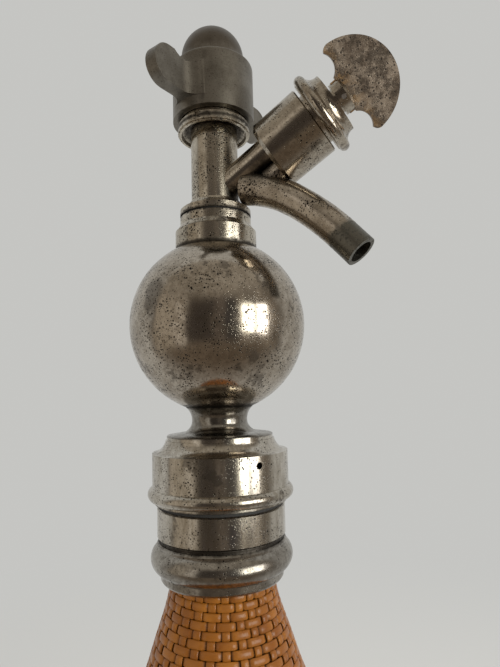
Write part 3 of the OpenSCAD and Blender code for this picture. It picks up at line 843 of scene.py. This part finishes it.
@dataclass
class Weave:
    """Plain weave on a turned outline.

    Above the turn number `split` one weft runs in a spiral over `count` stakes. The
    number is odd, so neighbouring turns pass each stake on either side by turns. From
    the split on, a new stake stands between each two. Their number is then even, so
    two wefts run side by side, each passing in front of what the other leaves.
    """

    name: str
    profile: Profile
    count: int
    split: float
    pitch: float = 2.45 * MM
    weft_wide: float = 2.38 * MM
    stake_wide: float = 2.45 * MM
    thick: float = 0.72 * MM
    swing: float = 0.44 * MM
    bulge: float = 0.07 * MM
    wander: float = 0.05 * MM
    tuck: float = 0.5 * MM
    bias: float = 0.38
    seam: float = 2.0
    section: tuple[tuple[float, float], ...] = (
        (-1.0, 0.0), (-0.93, 0.62), (-0.72, 1.0), (0.72, 1.0),
        (0.93, 0.62), (1.0, 0.0), (0.7, -0.9), (-0.7, -0.9))

    def flat(self, wave: Array, bias: float = 0.0) -> Array:
        """Wave from -1 to 1 with flattened crests and more time outside: tanh(2.6 (wave + bias))."""
        return np.tanh(2.6 * (wave + bias))

    def frame_on(self, angle: Array, along: Array, lift: Array) -> tuple[Array, Array, Array, Array]:
        """Point on the weave with its three directions.

        Args:
            angle: angle round the axis from the weave's seam.
            along: length along the outline.
            lift: distance out of the weave's middle surface.

        Returns:
            Place, outward normal, direction down the outline and direction round it.
        """
        flat, out = self.profile.at(along)
        c, s = np.cos(angle + self.seam), np.sin(angle + self.seam)
        spot = flat + out * lift[:, None]
        place = np.stack([spot[:, 0] * c, spot[:, 0] * s, spot[:, 1]], axis=-1)
        normal = np.stack([out[:, 0] * c, out[:, 0] * s, out[:, 1]], axis=-1)
        down = np.stack([out[:, 1] * c, out[:, 1] * s, -out[:, 0]], axis=-1)
        round_ = np.stack([-s, c, np.zeros_like(s)], axis=-1)
        return place, normal, down, round_

    def strip(
        self, place: Array, normal: Array, across: Array, wide: Array, run: Array, wave: Array
    ) -> tuple[Array, Array, Array]:
        """Rounded flat strip: at each place the section, as wide and thick as the strip.

        Args:
            place: (n, 3) middle of the strip.
            normal: (n, 3) unit vectors out of the weave.
            across: (n, 3) unit vectors across the strip.
            wide: (n,) widths.
            run: (n,) lengths along the strip.
            wave: (n,) side of the weave that it is on, from -1 inside to 1 outside.

        Returns:
            Points, their places along and across the strip, and the painted shade of each: more where it
            dips under the other strands and at its edges.
        """
        section = np.array(self.section)
        side = section[None, :, 0, None] * wide[:, None, None] / 2
        out = section[None, :, 1, None]
        high = out * self.thick / 2 + self.bulge * (out > 0.9)
        points = place[:, None] + across[:, None] * side + normal[:, None] * high
        where = np.stack([np.broadcast_to(run[:, None], side.shape[:2]), side[..., 0]], axis=-1)
        # Painted shade: darker where the strip dips under its neighbours (wave below 0) and towards its
        # edges.
        edge = 0.42 * np.abs(section[None, :, 0]) ** 8 * np.ones(side.shape[:2])
        painted_shade = np.clip(0.34 - 0.55 * wave[:, None] + edge, 0, 1)
        return points.reshape(-1, 3), where.reshape(-1, 2), painted_shade.reshape(-1)

    def weft(self, part: str, first: float, last: float, start: float = 0.0, strands: int = 1,
             side: int = 1) -> bpy.types.Object:
        """One stretch of a weft, a spiral down the outline that sways by a flattened cosine.

        Args:
            part: ending of the piece's name.
            first: number of turns, from the weft's zero, where it starts.
            last: number of turns where it ends.
            start: row number of the weft's zero.
            strands: how many wefts run side by side.
            side: 1 or -1, the side on which it passes the first stake.

        Returns:
            The new piece.
        """
        turn = np.linspace(first, last, int((last - first) * strands * self.count * 8) + 1)
        angle = 2 * math.pi * turn
        wave = self.flat(side * np.cos(math.pi * strands * self.count * turn), self.bias)
        row = start + strands * turn
        wander = self.wander * (np.sin(7.3 * turn) + np.sin(11.9 * turn + 1.3 * row))
        lift = wave * self.swing - self.tuck * np.clip(1 - (turn + 0.75) * 4, 0, 1) * (strands > 1)
        place, normal, down, _ = self.frame_on(angle, row * self.pitch + wander, lift)
        run = np.concatenate([[0.0], np.cumsum(np.linalg.norm(np.diff(place, axis=0), axis=1))])
        wide = self.weft_wide * (1 + 0.025 * np.sin(5.1 * turn * math.pi) + 0.02 * wave)
        points, where, painted_shade = self.strip(place, normal, down, wide, run, wave)
        faces = tube_faces(len(turn), len(self.section))
        return add_piece(f"{self.name}_weft_{part}", points, faces, where, painted_shade)

    def stakes(self, part: str, numbers: range, last: float) -> bpy.types.Object:
        """Stakes that run down the outline, each swaying against the wefts by a flattened cosine.

        Args:
            part: ending of the piece's name.
            numbers: stake numbers, of which the odd ones start at the split.
            last: row number where they end.

        Returns:
            The new piece.
        """
        sides = len(self.section)
        points, faces, where, painted_shade = [], [], [], []
        for number in numbers:
            turn = number / (2 * self.count)
            first = self.split + turn - 0.6 if number % 2 else 0.0
            row = np.linspace(first, last, int((last - first) * 6) + 1)
            angle = np.full_like(row, 2 * math.pi * turn)
            high = -np.cos(math.pi * (number / 2 + row - turn))
            low = -np.cos(math.pi * (number + row - self.split - 2 * turn))
            share = np.clip((row - self.split - turn + 0.5) * 2 + 0.5, 0, 1)
            wave = self.flat((1 - share) * high + share * low)
            angle = angle + 0.006 * np.sin(1.7 * number + row * 0.05)
            place, normal, _, round_ = self.frame_on(angle, row * self.pitch, wave * self.swing)
            round_length = 2 * math.pi * np.hypot(place[:, 0], place[:, 1])
            gap = round_length / self.count / np.where(share > 0.5, 2, 1)
            wide = np.maximum(self.stake_wide, 0.5 * gap) * (1 + 0.04 * math.sin(2.9 * number))
            wide = np.minimum(wide, 0.8 * gap)
            got = self.strip(place, normal, -round_, wide, row * self.pitch + number * 0.37, wave)
            faces.append(tube_faces(len(row), sides, sum(len(p) for p in points)))
            points.append(got[0])
            where.append(got[1])
            painted_shade.append(got[2])
        return add_piece(f"{self.name}_stakes_{part}", np.concatenate(points), np.concatenate(faces),
                         np.concatenate(where), np.concatenate(painted_shade))


# ---- Sub-assemblies ----


def dress(frame: dict[str, Any], finish: Finish, *nodes: str) -> None:
    """Lays a finish on CAD nodes.

    Args:
        frame: the loaded frame.
        finish: the finish.
        nodes: names of the nodes.
    """
    for node in nodes:
        made = frame["nodes"][node]
        for slot in made.material_slots:
            slot.material = finish.material()
        LOG.info("%s dressed in %s", node, finish.name)


def keep(piece: bpy.types.Object, finish: Finish, body: str, slot: str, *nodes: str) -> None:
    """Finishes a new piece and ties it to the frame.

    Args:
        piece: the new piece.
        finish: its finish.
        body: the CAD body that it rides on.
        slot: the record's material slot; not used.
        nodes: CAD nodes that it stands for.
    """
    piece.data.materials.append(finish.material())
    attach(piece, body)
    if nodes:
        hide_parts(*nodes)
    LOG.info("%s: %d faces on %s", piece.name, len(piece.data.polygons), body)


@dataclass
class Wicker:
    """Woven cover and foot of the bottle."""

    neck_radius: float = 17 * MM
    top: float = 217 * MM
    belly_radius: float = 61 * MM
    belly_height: float = 92 * MM
    foot_radius: float = 51 * MM
    foot_height: float = 9 * MM
    split_height: float = 176 * MM
    inset: float = 0.95 * MM
    swell: float = 1.3 * MM
    swell_height: float = 197 * MM
    swell_spread: float = 11 * MM
    stakes: int = 27
    bottom_stakes: int = 21
    bottom_split: int = 7
    bottom_height: float = 2 * MM
    rope_inset: float = 4.6 * MM
    rope_height: float = 4.45 * MM
    rope_radius: float = 2.3 * MM
    strand_radius: float = 2.0 * MM

    def outline(self) -> Profile:
        """Middle surface of the weave from the neck to the foot.

        Two cubic curves, swollen below the neck by a bell curve, and a short tuck behind
        the border.

        Returns:
            The outline, pulled in to the middle of the cane's thickness.
        """
        upper = bezier([(self.neck_radius, self.top), (self.neck_radius, self.top - 39 * MM),
                        (self.belly_radius - MM, self.belly_height + 57 * MM),
                        (self.belly_radius, self.belly_height)], 120)
        lower = bezier([(self.belly_radius, self.belly_height),
                        (self.belly_radius, self.belly_height - 38 * MM),
                        (self.foot_radius + 5 * MM, self.foot_height + 22 * MM),
                        (self.foot_radius, self.foot_height)], 80)
        tuck = [(self.foot_radius - 0.6 * MM, self.foot_height - 0.9 * MM),
                (self.foot_radius - 2.0 * MM, self.foot_height - 2.0 * MM)]
        points = np.concatenate([upper, lower[1:], tuck])
        bell = np.exp(-(((points[:, 1] - self.swell_height) / self.swell_spread) ** 2))
        points[:, 0] += self.swell * bell - self.inset
        return Profile(points)

    def build(self) -> None:
        """Makes the cover in stretches, the woven bottom and the border.

        The last odd weft runs up to a row past the outline's end, where it stands still
        and shrinks to a line behind the border.
        """
        profile = self.outline()
        cane = Cane()
        split = float(np.interp(-self.split_height, -profile.points[:, 1], profile.lengths))
        split = float(round(split / Weave.pitch))
        weave = Weave("cover", profile, self.stakes, split)
        rows = math.floor(profile.length / weave.pitch)
        cuts = np.linspace(0.0, (rows - split) / 2 - 0.05, 4)
        pieces = [weave.weft("neck", 0.0, split)]
        for a, b, part in zip(cuts[:-1], cuts[1:], ("upper", "middle", "lower")):
            pieces.append(weave.weft(f"{part}_even", float(a), float(b), split, 2, 1))
            pieces.append(weave.weft(f"{part}_odd", float(a) - 0.75 * (a == 0), float(b), split + 1, 2, -1))
        for first, part in enumerate(("long_a", "added_a", "long_b", "added_b")):
            pieces.append(weave.stakes(part, range(first, 2 * weave.count, 4), float(rows)))
        keep(pieces[0], cane, "siphon", "cane", "wicker_cover")
        for piece in pieces[1:]:
            keep(piece, cane, "siphon", "cane")
        self.foot(cane)

    def foot(self, cane: Finish) -> None:
        """Border of three strands twisted round the foot, and a woven bottom inside it.

        Each strand is a round tube on a helix that is bent into a ring. Its rings turn
        clockwise, so the faces of the border point inwards.

        Args:
            cane: the finish.
        """
        strands, turns, sides = 3, 18, 12
        round_ = np.linspace(0, 2 * math.pi, 1400)
        points, faces = [], []
        for strand in range(strands):
            twist = turns * round_ + 2 * math.pi * strand / strands
            r = self.foot_radius - self.rope_inset + self.rope_radius * np.cos(twist)
            z = self.rope_height + self.rope_radius * np.sin(twist)
            middle = np.stack([r * np.cos(round_), r * np.sin(round_), z], axis=-1)
            out = np.stack([np.cos(round_), np.sin(round_), 0 * round_], axis=-1)
            up = np.broadcast_to(np.array([0.0, 0.0, 1.0]), out.shape)
            a = np.linspace(0, 2 * math.pi, sides, endpoint=False)
            ring = middle[:, None] + self.strand_radius * (out[:, None] * np.cos(a)[None, :, None]
                                                           + up[:, None] * np.sin(a)[None, :, None])
            faces.append(tube_faces(len(round_), sides, strand * sides * len(round_)))
            points.append(ring.reshape(-1, 3))
        whole = np.concatenate(points)
        length = np.tile(np.repeat(round_ * self.foot_radius, sides), strands)
        strip = np.stack([length, np.tile(np.arange(sides) * MM, strands * len(round_))], axis=-1)
        border = add_piece("foot_border", whole, np.concatenate(faces), strip, np.full(len(whole), 0.1))
        keep(border, cane, "siphon", "cane", "wicker_base")
        flat = Profile(np.array([[3 * MM, self.bottom_height],
                                 [self.foot_radius - 8 * MM, self.bottom_height]]))
        split = float(self.bottom_split)
        bottom = Weave("bottom", flat, self.bottom_stakes, split)
        rows = math.floor(flat.length / bottom.pitch)
        last = (rows - split) / 2
        for piece in (bottom.weft("inner", 0.0, split),
                      bottom.weft("even", 0.0, last, split, 2, 1),
                      bottom.weft("odd", -0.75, last, split + 1, 2, -1),
                      bottom.stakes("all", range(0, 2 * self.bottom_stakes), float(rows))):
            keep(piece, cane, "siphon", "cane")


@dataclass
class Waist:
    """The pedestal's foot and hollow waist under the globe, turned in one smooth line."""

    tail_radius: float = 13.0 * MM
    tail_bottom: float = 253.4 * MM
    foot_radius: float = 17.7 * MM
    foot_bottom: float = 259.5 * MM
    waist_radius: float = 9.3 * MM
    waist_height: float = 264.6 * MM
    bore: float = 7.9 * MM
    seat_top: float = 268.0 * MM
    seat_bottom: float = 261.0 * MM
    throat: float = 6.5 * MM
    hole: float = 3.3 * MM
    shelf: float = 255.4 * MM
    lower_arc: float = 4.0 * MM
    upper_arc: float = 6.0 * MM

    def outline(self) -> Array:
        """Closed outline: foot, two arcs of the hollow, seat, bore and tail.

        Returns:
            (n, 2) places as (radius, height).
        """
        low = np.linspace(-90, -180, 14) * math.pi / 180
        high = np.linspace(180, 132.5, 14) * math.pi / 180
        lower = np.stack([self.waist_radius + self.lower_arc + self.lower_arc * np.cos(low),
                          self.waist_height + self.lower_arc * np.sin(low)], axis=-1)
        upper = np.stack([self.waist_radius + self.upper_arc + self.upper_arc * np.cos(high),
                          self.waist_height + self.upper_arc * np.sin(high)], axis=-1)
        foot = np.array([(self.foot_radius, self.foot_bottom),
                         (self.foot_radius, self.foot_bottom + 0.3 * MM),
                         (self.foot_radius - 0.25 * MM, self.foot_bottom + 0.5 * MM)])
        inside = np.array([(self.bore, self.seat_top), (self.bore, self.seat_bottom),
                           (self.throat, self.shelf), (self.hole, self.shelf),
                           (self.hole, self.tail_bottom), (self.tail_radius, self.tail_bottom),
                           (self.tail_radius, self.foot_bottom)])
        return np.concatenate([foot, lower, upper[1:], inside])

    def build(self) -> None:
        """Turns the outline round Z and puts it in the pedestal's place."""
        sides = 144
        outline = self.outline()
        faces = wall_faces(len(outline), sides, joined=True)
        made = add_piece("pedestal_turned", turned(outline, sides), faces)
        made.data.set_sharp_from_angle(angle=math.radians(50))
        # Its plate is the darker copy, with the shade under the globe painted in.
        keep(made, Look.SHADED_WAIST.value, "siphon", "nickel", "pedestal")


@dataclass
class Softened:
    """A copy of a CAD node whose sharp edges are rounded and whose faint creases vanish."""

    node: str
    slot: str
    edge: float = 0.3 * MM
    crease: float = 35.0

    def moved(self, points: Array) -> Array:
        """The node's points after a change of form. Here they stay."""
        return points

    def build(self, frame: dict[str, Any], finish: Finish) -> None:
        """Copies, welds and rounds the node.

        Args:
            frame: the loaded frame.
            finish: the finish.
        """
        made = copy_node(frame, self.node, f"{self.node}_rounded")
        mesh = made.data
        points = np.empty(3 * len(mesh.vertices), dtype=np.float32)
        mesh.vertices.foreach_get("co", points)
        mesh.vertices.foreach_set("co", self.moved(points.reshape(-1, 3)).astype(np.float32).ravel())
        work = bmesh.new()
        work.from_mesh(mesh)
        bmesh.ops.remove_doubles(work, verts=work.verts, dist=0.004 * MM)
        bmesh.ops.dissolve_limit(work, angle_limit=math.radians(0.4), verts=work.verts, edges=work.edges)
        work.to_mesh(mesh)
        work.free()
        mesh.polygons.foreach_set("use_smooth", np.ones(len(mesh.polygons), dtype=bool))
        mesh.set_sharp_from_angle(angle=math.radians(self.crease))
        bevel = made.modifiers.new("edges", "BEVEL")
        bevel.width, bevel.segments, bevel.limit_method = self.edge, 2, "ANGLE"
        bevel.angle_limit, bevel.use_clamp_overlap = math.radians(self.crease), True
        keep(made, finish, frame["nodes"][self.node]["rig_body"], self.slot, self.node)


@dataclass
class WingedCap(Softened):
    """The cap, with its shoulder lowered so that more of the dome shows."""

    dome_radius: float = 11.3 * MM
    shoulder_low: float = 388.6 * MM
    shoulder_high: float = 394.06 * MM
    drop: float = 2.4 * MM
    cap_radius: float = 14.5 * MM
    wing_turn: float = math.radians(79.3)
    wing_start: float = 17.5 * MM
    wing_fade: float = 2.9 * MM
    root_reach: float = 7.3 * MM
    root_fade: float = 3.2 * MM
    root_depth: float = 1.6 * MM
    root_inner: float = 3.5 * MM

    def moved(self, points: Array) -> Array:
        """Points of the cap after two changes.

        The shoulder sinks by a smooth share of the drop, and nothing beyond the wings'
        roots does. Each end of a root's hollow runs out into the cap's side without a step.

        Args:
            points: (n, 3) points of the node.

        Returns:
            (n, 3) new points.
        """
        radius = np.hypot(points[:, 0], points[:, 1])
        height = points[:, 2] - self.shoulder_low
        share = np.clip(height / (self.shoulder_high - self.shoulder_low), 0, 1)
        share = share * share * (3 - 2 * share)
        out = np.clip((self.wing_start - radius) / self.wing_fade, 0, 1)
        on = (radius > self.dome_radius - 0.35 * MM) & (points[:, 2] < self.shoulder_high + 0.02 * MM)
        moved = points.copy()
        moved[:, 2] -= self.drop * share * out * on
        side = np.abs(points[:, 0] * math.sin(self.wing_turn) - points[:, 1] * math.cos(self.wing_turn))
        hollow = np.clip((self.root_reach - side) / self.root_fade, 0, 1)
        beyond = radius - self.cap_radius
        root = (radius > self.cap_radius) & (radius < self.cap_radius + self.root_depth)
        root &= side > self.root_inner
        pull = np.where(root, (self.cap_radius + beyond * hollow) / np.maximum(radius, MM), 1.0)
        moved[:, :2] *= pull[:, None]
        return moved


@dataclass
class Spring:
    """The ball's spring: a steel copy of its CAD node."""

    node: str = "check_spring"
    bottom: float = 349.5 * MM
    top: float = 353.8 * MM

    def build(self, frame: dict[str, Any]) -> None:
        """Copies the node in steel, bakes its place into its points and hides the node.

        Args:
            frame: the loaded frame.
        """
        made = copy_node(frame, self.node, "check_spring_coil")
        made.data.materials.append(Look.STEEL.value.material())
        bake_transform(made)
        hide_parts(self.node)
        LOG.info("%s: %d faces between siphon and ball", made.name, len(made.data.polygons))


STAINS: tuple[Spot, ...] = ((-6.8, -27.6, 305.3, 4.8), (-7.6, -28.2, 301.5, 3.4))


class Look(Enum):
    """Finishes of the CAD nodes that keep their own shape."""

    NICKEL = WornPlate(seams=(269.3 * MM,), stains=STAINS)
    # Darker copy of the plate for the hollow waist under the globe: painted shade.
    SHADED_WAIST = WornPlate("worn_nickel_waist_shaded", bright=(0.34, 0.32, 0.285), dull=(0.17, 0.15, 0.125), gloss=0.13,
                      wear=0.7, seams=(269.3 * MM,))
    # The corner spots on the column, tap and spout paint shade, with some grime, where these parts meet.
    COLUMN = WornPlate("worn_nickel_column", bright=(0.60, 0.545, 0.455), dull=(0.37, 0.32, 0.25),
                       gloss=0.17, wear=1.15, seams=(334.8 * MM, 323.0 * MM, 367.0 * MM),
                       joint_shade_and_grime=((9, 0, 343, 8),))
    TAP = WornPlate("worn_nickel_tap", bright=(0.51, 0.455, 0.375), wear=0.9,
                    joint_shade_and_grime=((8, 0, 341, 7), (21, 0, 347, 9)))
    NECK = WornPlate("worn_nickel_neck", bright=(0.62, 0.575, 0.505), dull=(0.36, 0.315, 0.25),
                     wear=0.85, streak=3.0, seams=(227.35 * MM, 238.1 * MM))
    # Darker copy of the plate for the skirt: partly wear, partly painted shade for the dark floor and wicker
    # that its bead mirrors.
    SHADED_SKIRT = WornPlate("worn_nickel_skirt_shaded", bright=(0.43, 0.400, 0.352), dull=(0.21, 0.186, 0.158),
                      gloss=0.15, wear=0.8, seams=(227.35 * MM,))
    SPOUT = SpoutPlate(gloss=0.16, joint_shade_and_grime=((19, 0, 346, 8),))
    CAP = SatinCap()
    KEY = PatinaPlate()
    BRASS = PlainMetal()
    STEEL = PlainMetal("bright_steel", (0.60, 0.60, 0.60), 0.22)
    RUBBER = Dull()
    LEATHER = Dull("greased_leather", (0.16, 0.085, 0.040), (0.24, 0.140, 0.070))
    GLASS = Glass()


DRESSING: dict[Look, tuple[str, ...]] = {
    Look.NICKEL: ("globe_lower", "globe_upper"),
    Look.COLUMN: ("collar_nut", "column", "bulb_holder"),
    Look.SHADED_SKIRT: ("neck_skirt",),
    Look.NECK: ("neck_sleeve", "coupling_nut"),
    Look.TAP: ("arm", "tap_body", "gland_nut", "spindle"),
    Look.SPOUT: ("spout",),
    Look.BRASS: ("head_plug", "riser_tube", "collar_boss", "valve_jumper", "packing_washer"),
    Look.STEEL: ("key_pin", "piercing_pin", "check_ball", "gas_bulb"),
    Look.RUBBER: ("tube_sleeve", "neck_gasket", "mouth_washer", "collar_washer", "bulb_seal",
                  "valve_washer"),
    Look.LEATHER: ("cap_pad", "gland_packing"),
    Look.GLASS: ("bottle", "dip_tube"),
}


@dataclass
class Studio:
    """Camera, lamps, floor and world."""

    eye: tuple[float, float, float] = (0.08417, -0.1500, 0.2747)
    forward: tuple[float, float, float] = (-0.4298, 0.8963, 0.1094)
    right: tuple[float, float, float] = (0.9000, 0.4349, -0.0270)
    lens: float = 27.04
    globe_height: float = 0.29
    pale: RGB = (0.560, 0.560, 0.542)
    floor_tone: RGB = (0.66, 0.66, 0.64)
    table: RGB = (0.170, 0.134, 0.100)
    panels: tuple[tuple[float, float, RGB], ...] = (
        (-84, -54, (0.46, 0.41, 0.34)),
        (-53, -38, (0.66, 0.61, 0.54)),
        (-36, -2, (0.070, 0.058, 0.050)),
        (-1, 13, (0.15, 0.125, 0.105)),
        (13, 31, (0.060, 0.054, 0.052)),
    )

    def camera(self) -> None:
        """Camera at the photograph's place, 172 mm from the column."""
        data = bpy.data.cameras.new("camera")
        data.lens, data.sensor_width, data.clip_start = self.lens, 36.0, 5 * MM
        made = link("camera", data)
        forward = Vector(self.forward).normalized()
        right = Vector(self.right).normalized()
        up = right.cross(forward).normalized()
        right = forward.cross(up)
        turn = Matrix((right, up, -forward)).transposed()
        made.matrix_world = Matrix.Translation(self.eye) @ turn.to_4x4()
        bpy.context.scene.camera = made

    def lamp(self, name: str, place: tuple[float, float, float], size: tuple[float, float],
             power: float, colour: RGB, mirrored: bool = True) -> None:
        """Rectangular lamp that faces the globe.

        Args:
            name: the lamp's name.
            place: its middle.
            size: its width and height in metres.
            power: its power in watts.
            colour: its colour.
            mirrored: whether metal shows it.
        """
        data = bpy.data.lights.new(name, "AREA")
        data.shape, data.size, data.size_y = "RECTANGLE", size[0], size[1]
        data.energy, data.color = power, colour
        made = link(name, data)
        made.visible_glossy = mirrored
        way = Vector((0, 0, self.globe_height)) - Vector(place)
        made.matrix_world = Matrix.Translation(place) @ way.to_track_quat("-Z", "Y").to_matrix().to_4x4()

    def around(self, turn: float, rise: float, far: float) -> tuple[float, float, float]:
        """Place on a sphere round the globe.

        Args:
            turn: degrees from the camera's own side, towards the picture's right.
            rise: degrees above the horizon.
            far: distance in metres.

        Returns:
            The place.
        """
        back = math.atan2(-self.forward[1], -self.forward[0]) + math.radians(turn)
        flat, up = far * math.cos(math.radians(rise)), far * math.sin(math.radians(rise))
        return (flat * math.cos(back), flat * math.sin(back), self.globe_height + up)

    def world(self) -> None:
        """Even light, and for metal a room as the photo's reflections show it.

        Angles are in radians from the camera's own side, towards the picture's right.
        """
        world = bpy.data.worlds.new("studio")
        bpy.context.scene.world = world
        world.use_nodes = True
        graph = Graph(world.node_tree)
        way = graph.node("ShaderNodeTexCoord", output="Generated")
        height = graph.along(way, (0, 0, 1))
        turn = graph.node("ShaderNodeMath", {"operation": "ARCTAN2"},
                          {0: graph.along(way, self.right), 1: graph.along(way, self.forward) * -1})
        clutter = graph.noise(way, 0.30, 3.0, 0.55)
        room = graph.mix(clutter.rise(0.36, 0.64), (0.120, 0.100, 0.080), (0.330, 0.285, 0.230))
        turn = turn + (clutter - 0.5) * 0.35
        for low, high, colour in self.panels:
            low, high = math.radians(low), math.radians(high)
            band = turn.rise(low - 0.07, low + 0.07) * (1 - turn.rise(high - 0.07, high + 0.07))
            room = graph.mix(band * (1 - height.size().rise(0.30, 0.66)), room, colour)
        room = graph.mix(height.rise(0.35, 0.80), room, (0.42, 0.385, 0.330))
        room = graph.mix((height * -1).rise(0.45, 0.75), room, self.table)
        seen = graph.mix(turn.size().rise(1.45, 1.75), room, self.pale)
        light = graph.mix(graph.rays("Glossy", "Transmission"), (0.62, 0.61, 0.59), seen)
        light = graph.mix(graph.rays("Camera"), light, self.pale)
        graph.finish("ShaderNodeOutputWorld",
                     graph.node("ShaderNodeBackground", None, {"Color": light, "Strength": 1.0}))

    def floor(self) -> None:
        """Wide pale disc at z = 0: rings of points, r = R u^2, closed in the middle.

        It carries the object's shadow near by and turns into the backdrop's own colour
        further off, so that no horizon shows. From below it is clear.
        """
        rings, sides = 24, 64
        u = np.linspace(0.02, 1, rings)
        points = turned(np.stack([6.0 * u**2, 0 * u], axis=-1), sides)
        half = np.arange(sides // 2 - 1)
        middle = np.stack([half, half + 1, sides - 2 - half, sides - 1 - half], axis=-1)
        made = add_piece("floor", points, np.concatenate([wall_faces(rings, sides)[:, ::-1], middle]))
        material = bpy.data.materials.new("floor")
        material.use_nodes = True
        graph = Graph(material.node_tree)
        plain = graph.node("ShaderNodeBsdfPrincipled", None,
                           {"Base Color": self.floor_tone, "Roughness": 0.9})
        backdrop = graph.node("ShaderNodeEmission", None, {"Color": self.pale})
        clear = graph.node("ShaderNodeBsdfTransparent")
        far = graph.node("ShaderNodeVectorMath", {"operation": "LENGTH"}, {0: graph.place()}, "Value")
        shiny = graph.rays("Glossy", "Transmission")
        share = far.rise(0.16, 0.75) * graph.rays("Camera")
        pale = graph.node("ShaderNodeMixShader", None, {0: share, 1: plain, 2: backdrop})
        front = (graph.along(graph.place(), self.forward) * -1).rise(-0.15, 0.25)
        table = graph.node("ShaderNodeEmission", None, {"Color": graph.mix(front, self.pale, self.table)})
        room = graph.node("ShaderNodeMixShader", None, {0: far.rise(0.40, 0.80), 1: table, 2: clear})
        above = graph.node("ShaderNodeMixShader", None, {0: shiny, 1: pale, 2: room})
        below = graph.node("ShaderNodeNewGeometry", output="Backfacing")
        graph.finish("ShaderNodeOutputMaterial",
                     graph.node("ShaderNodeMixShader", None, {0: below, 1: above, 2: clear}))
        made.data.materials.append(material)

    def build(self) -> None:
        """Makes the whole setting."""
        self.camera()
        self.world()
        self.floor()
        for name, turn, power, colour in (("window_left", 42, 5.5, (0.98, 1.0, 0.93)),
                                          ("window_right", 61, 4.0, (1.0, 1.0, 0.98))):
            self.lamp(name, self.around(turn, 3, 1.3), (0.36, 0.74), power, colour)
        self.lamp("side_window", self.around(-62, 6, 1.6), (0.35, 0.7), 3.0, (1.0, 0.97, 0.93), False)
        self.lamp("overhead", self.around(110, 62, 1.6), (1.2, 1.2), 9.0, (1.0, 1.0, 1.0), False)
        bpy.context.scene.view_settings.view_transform = "Standard"


def main() -> None:
    """Loads the frame and builds the setting and the looks in order."""
    logging.basicConfig(level=logging.INFO, format="%(name)s: %(message)s")
    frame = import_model()
    Studio().build()
    Wicker().build()
    Waist().build()
    Spring().build(frame)
    WingedCap("wing_cap", "cap_metal").build(frame, Look.CAP.value)
    Softened("wing_key", "key_metal", 0.45 * MM).build(frame, Look.KEY.value)
    for look, nodes in DRESSING.items():
        dress(frame, look.value, *nodes)


if __name__ == "__main__":
    main()
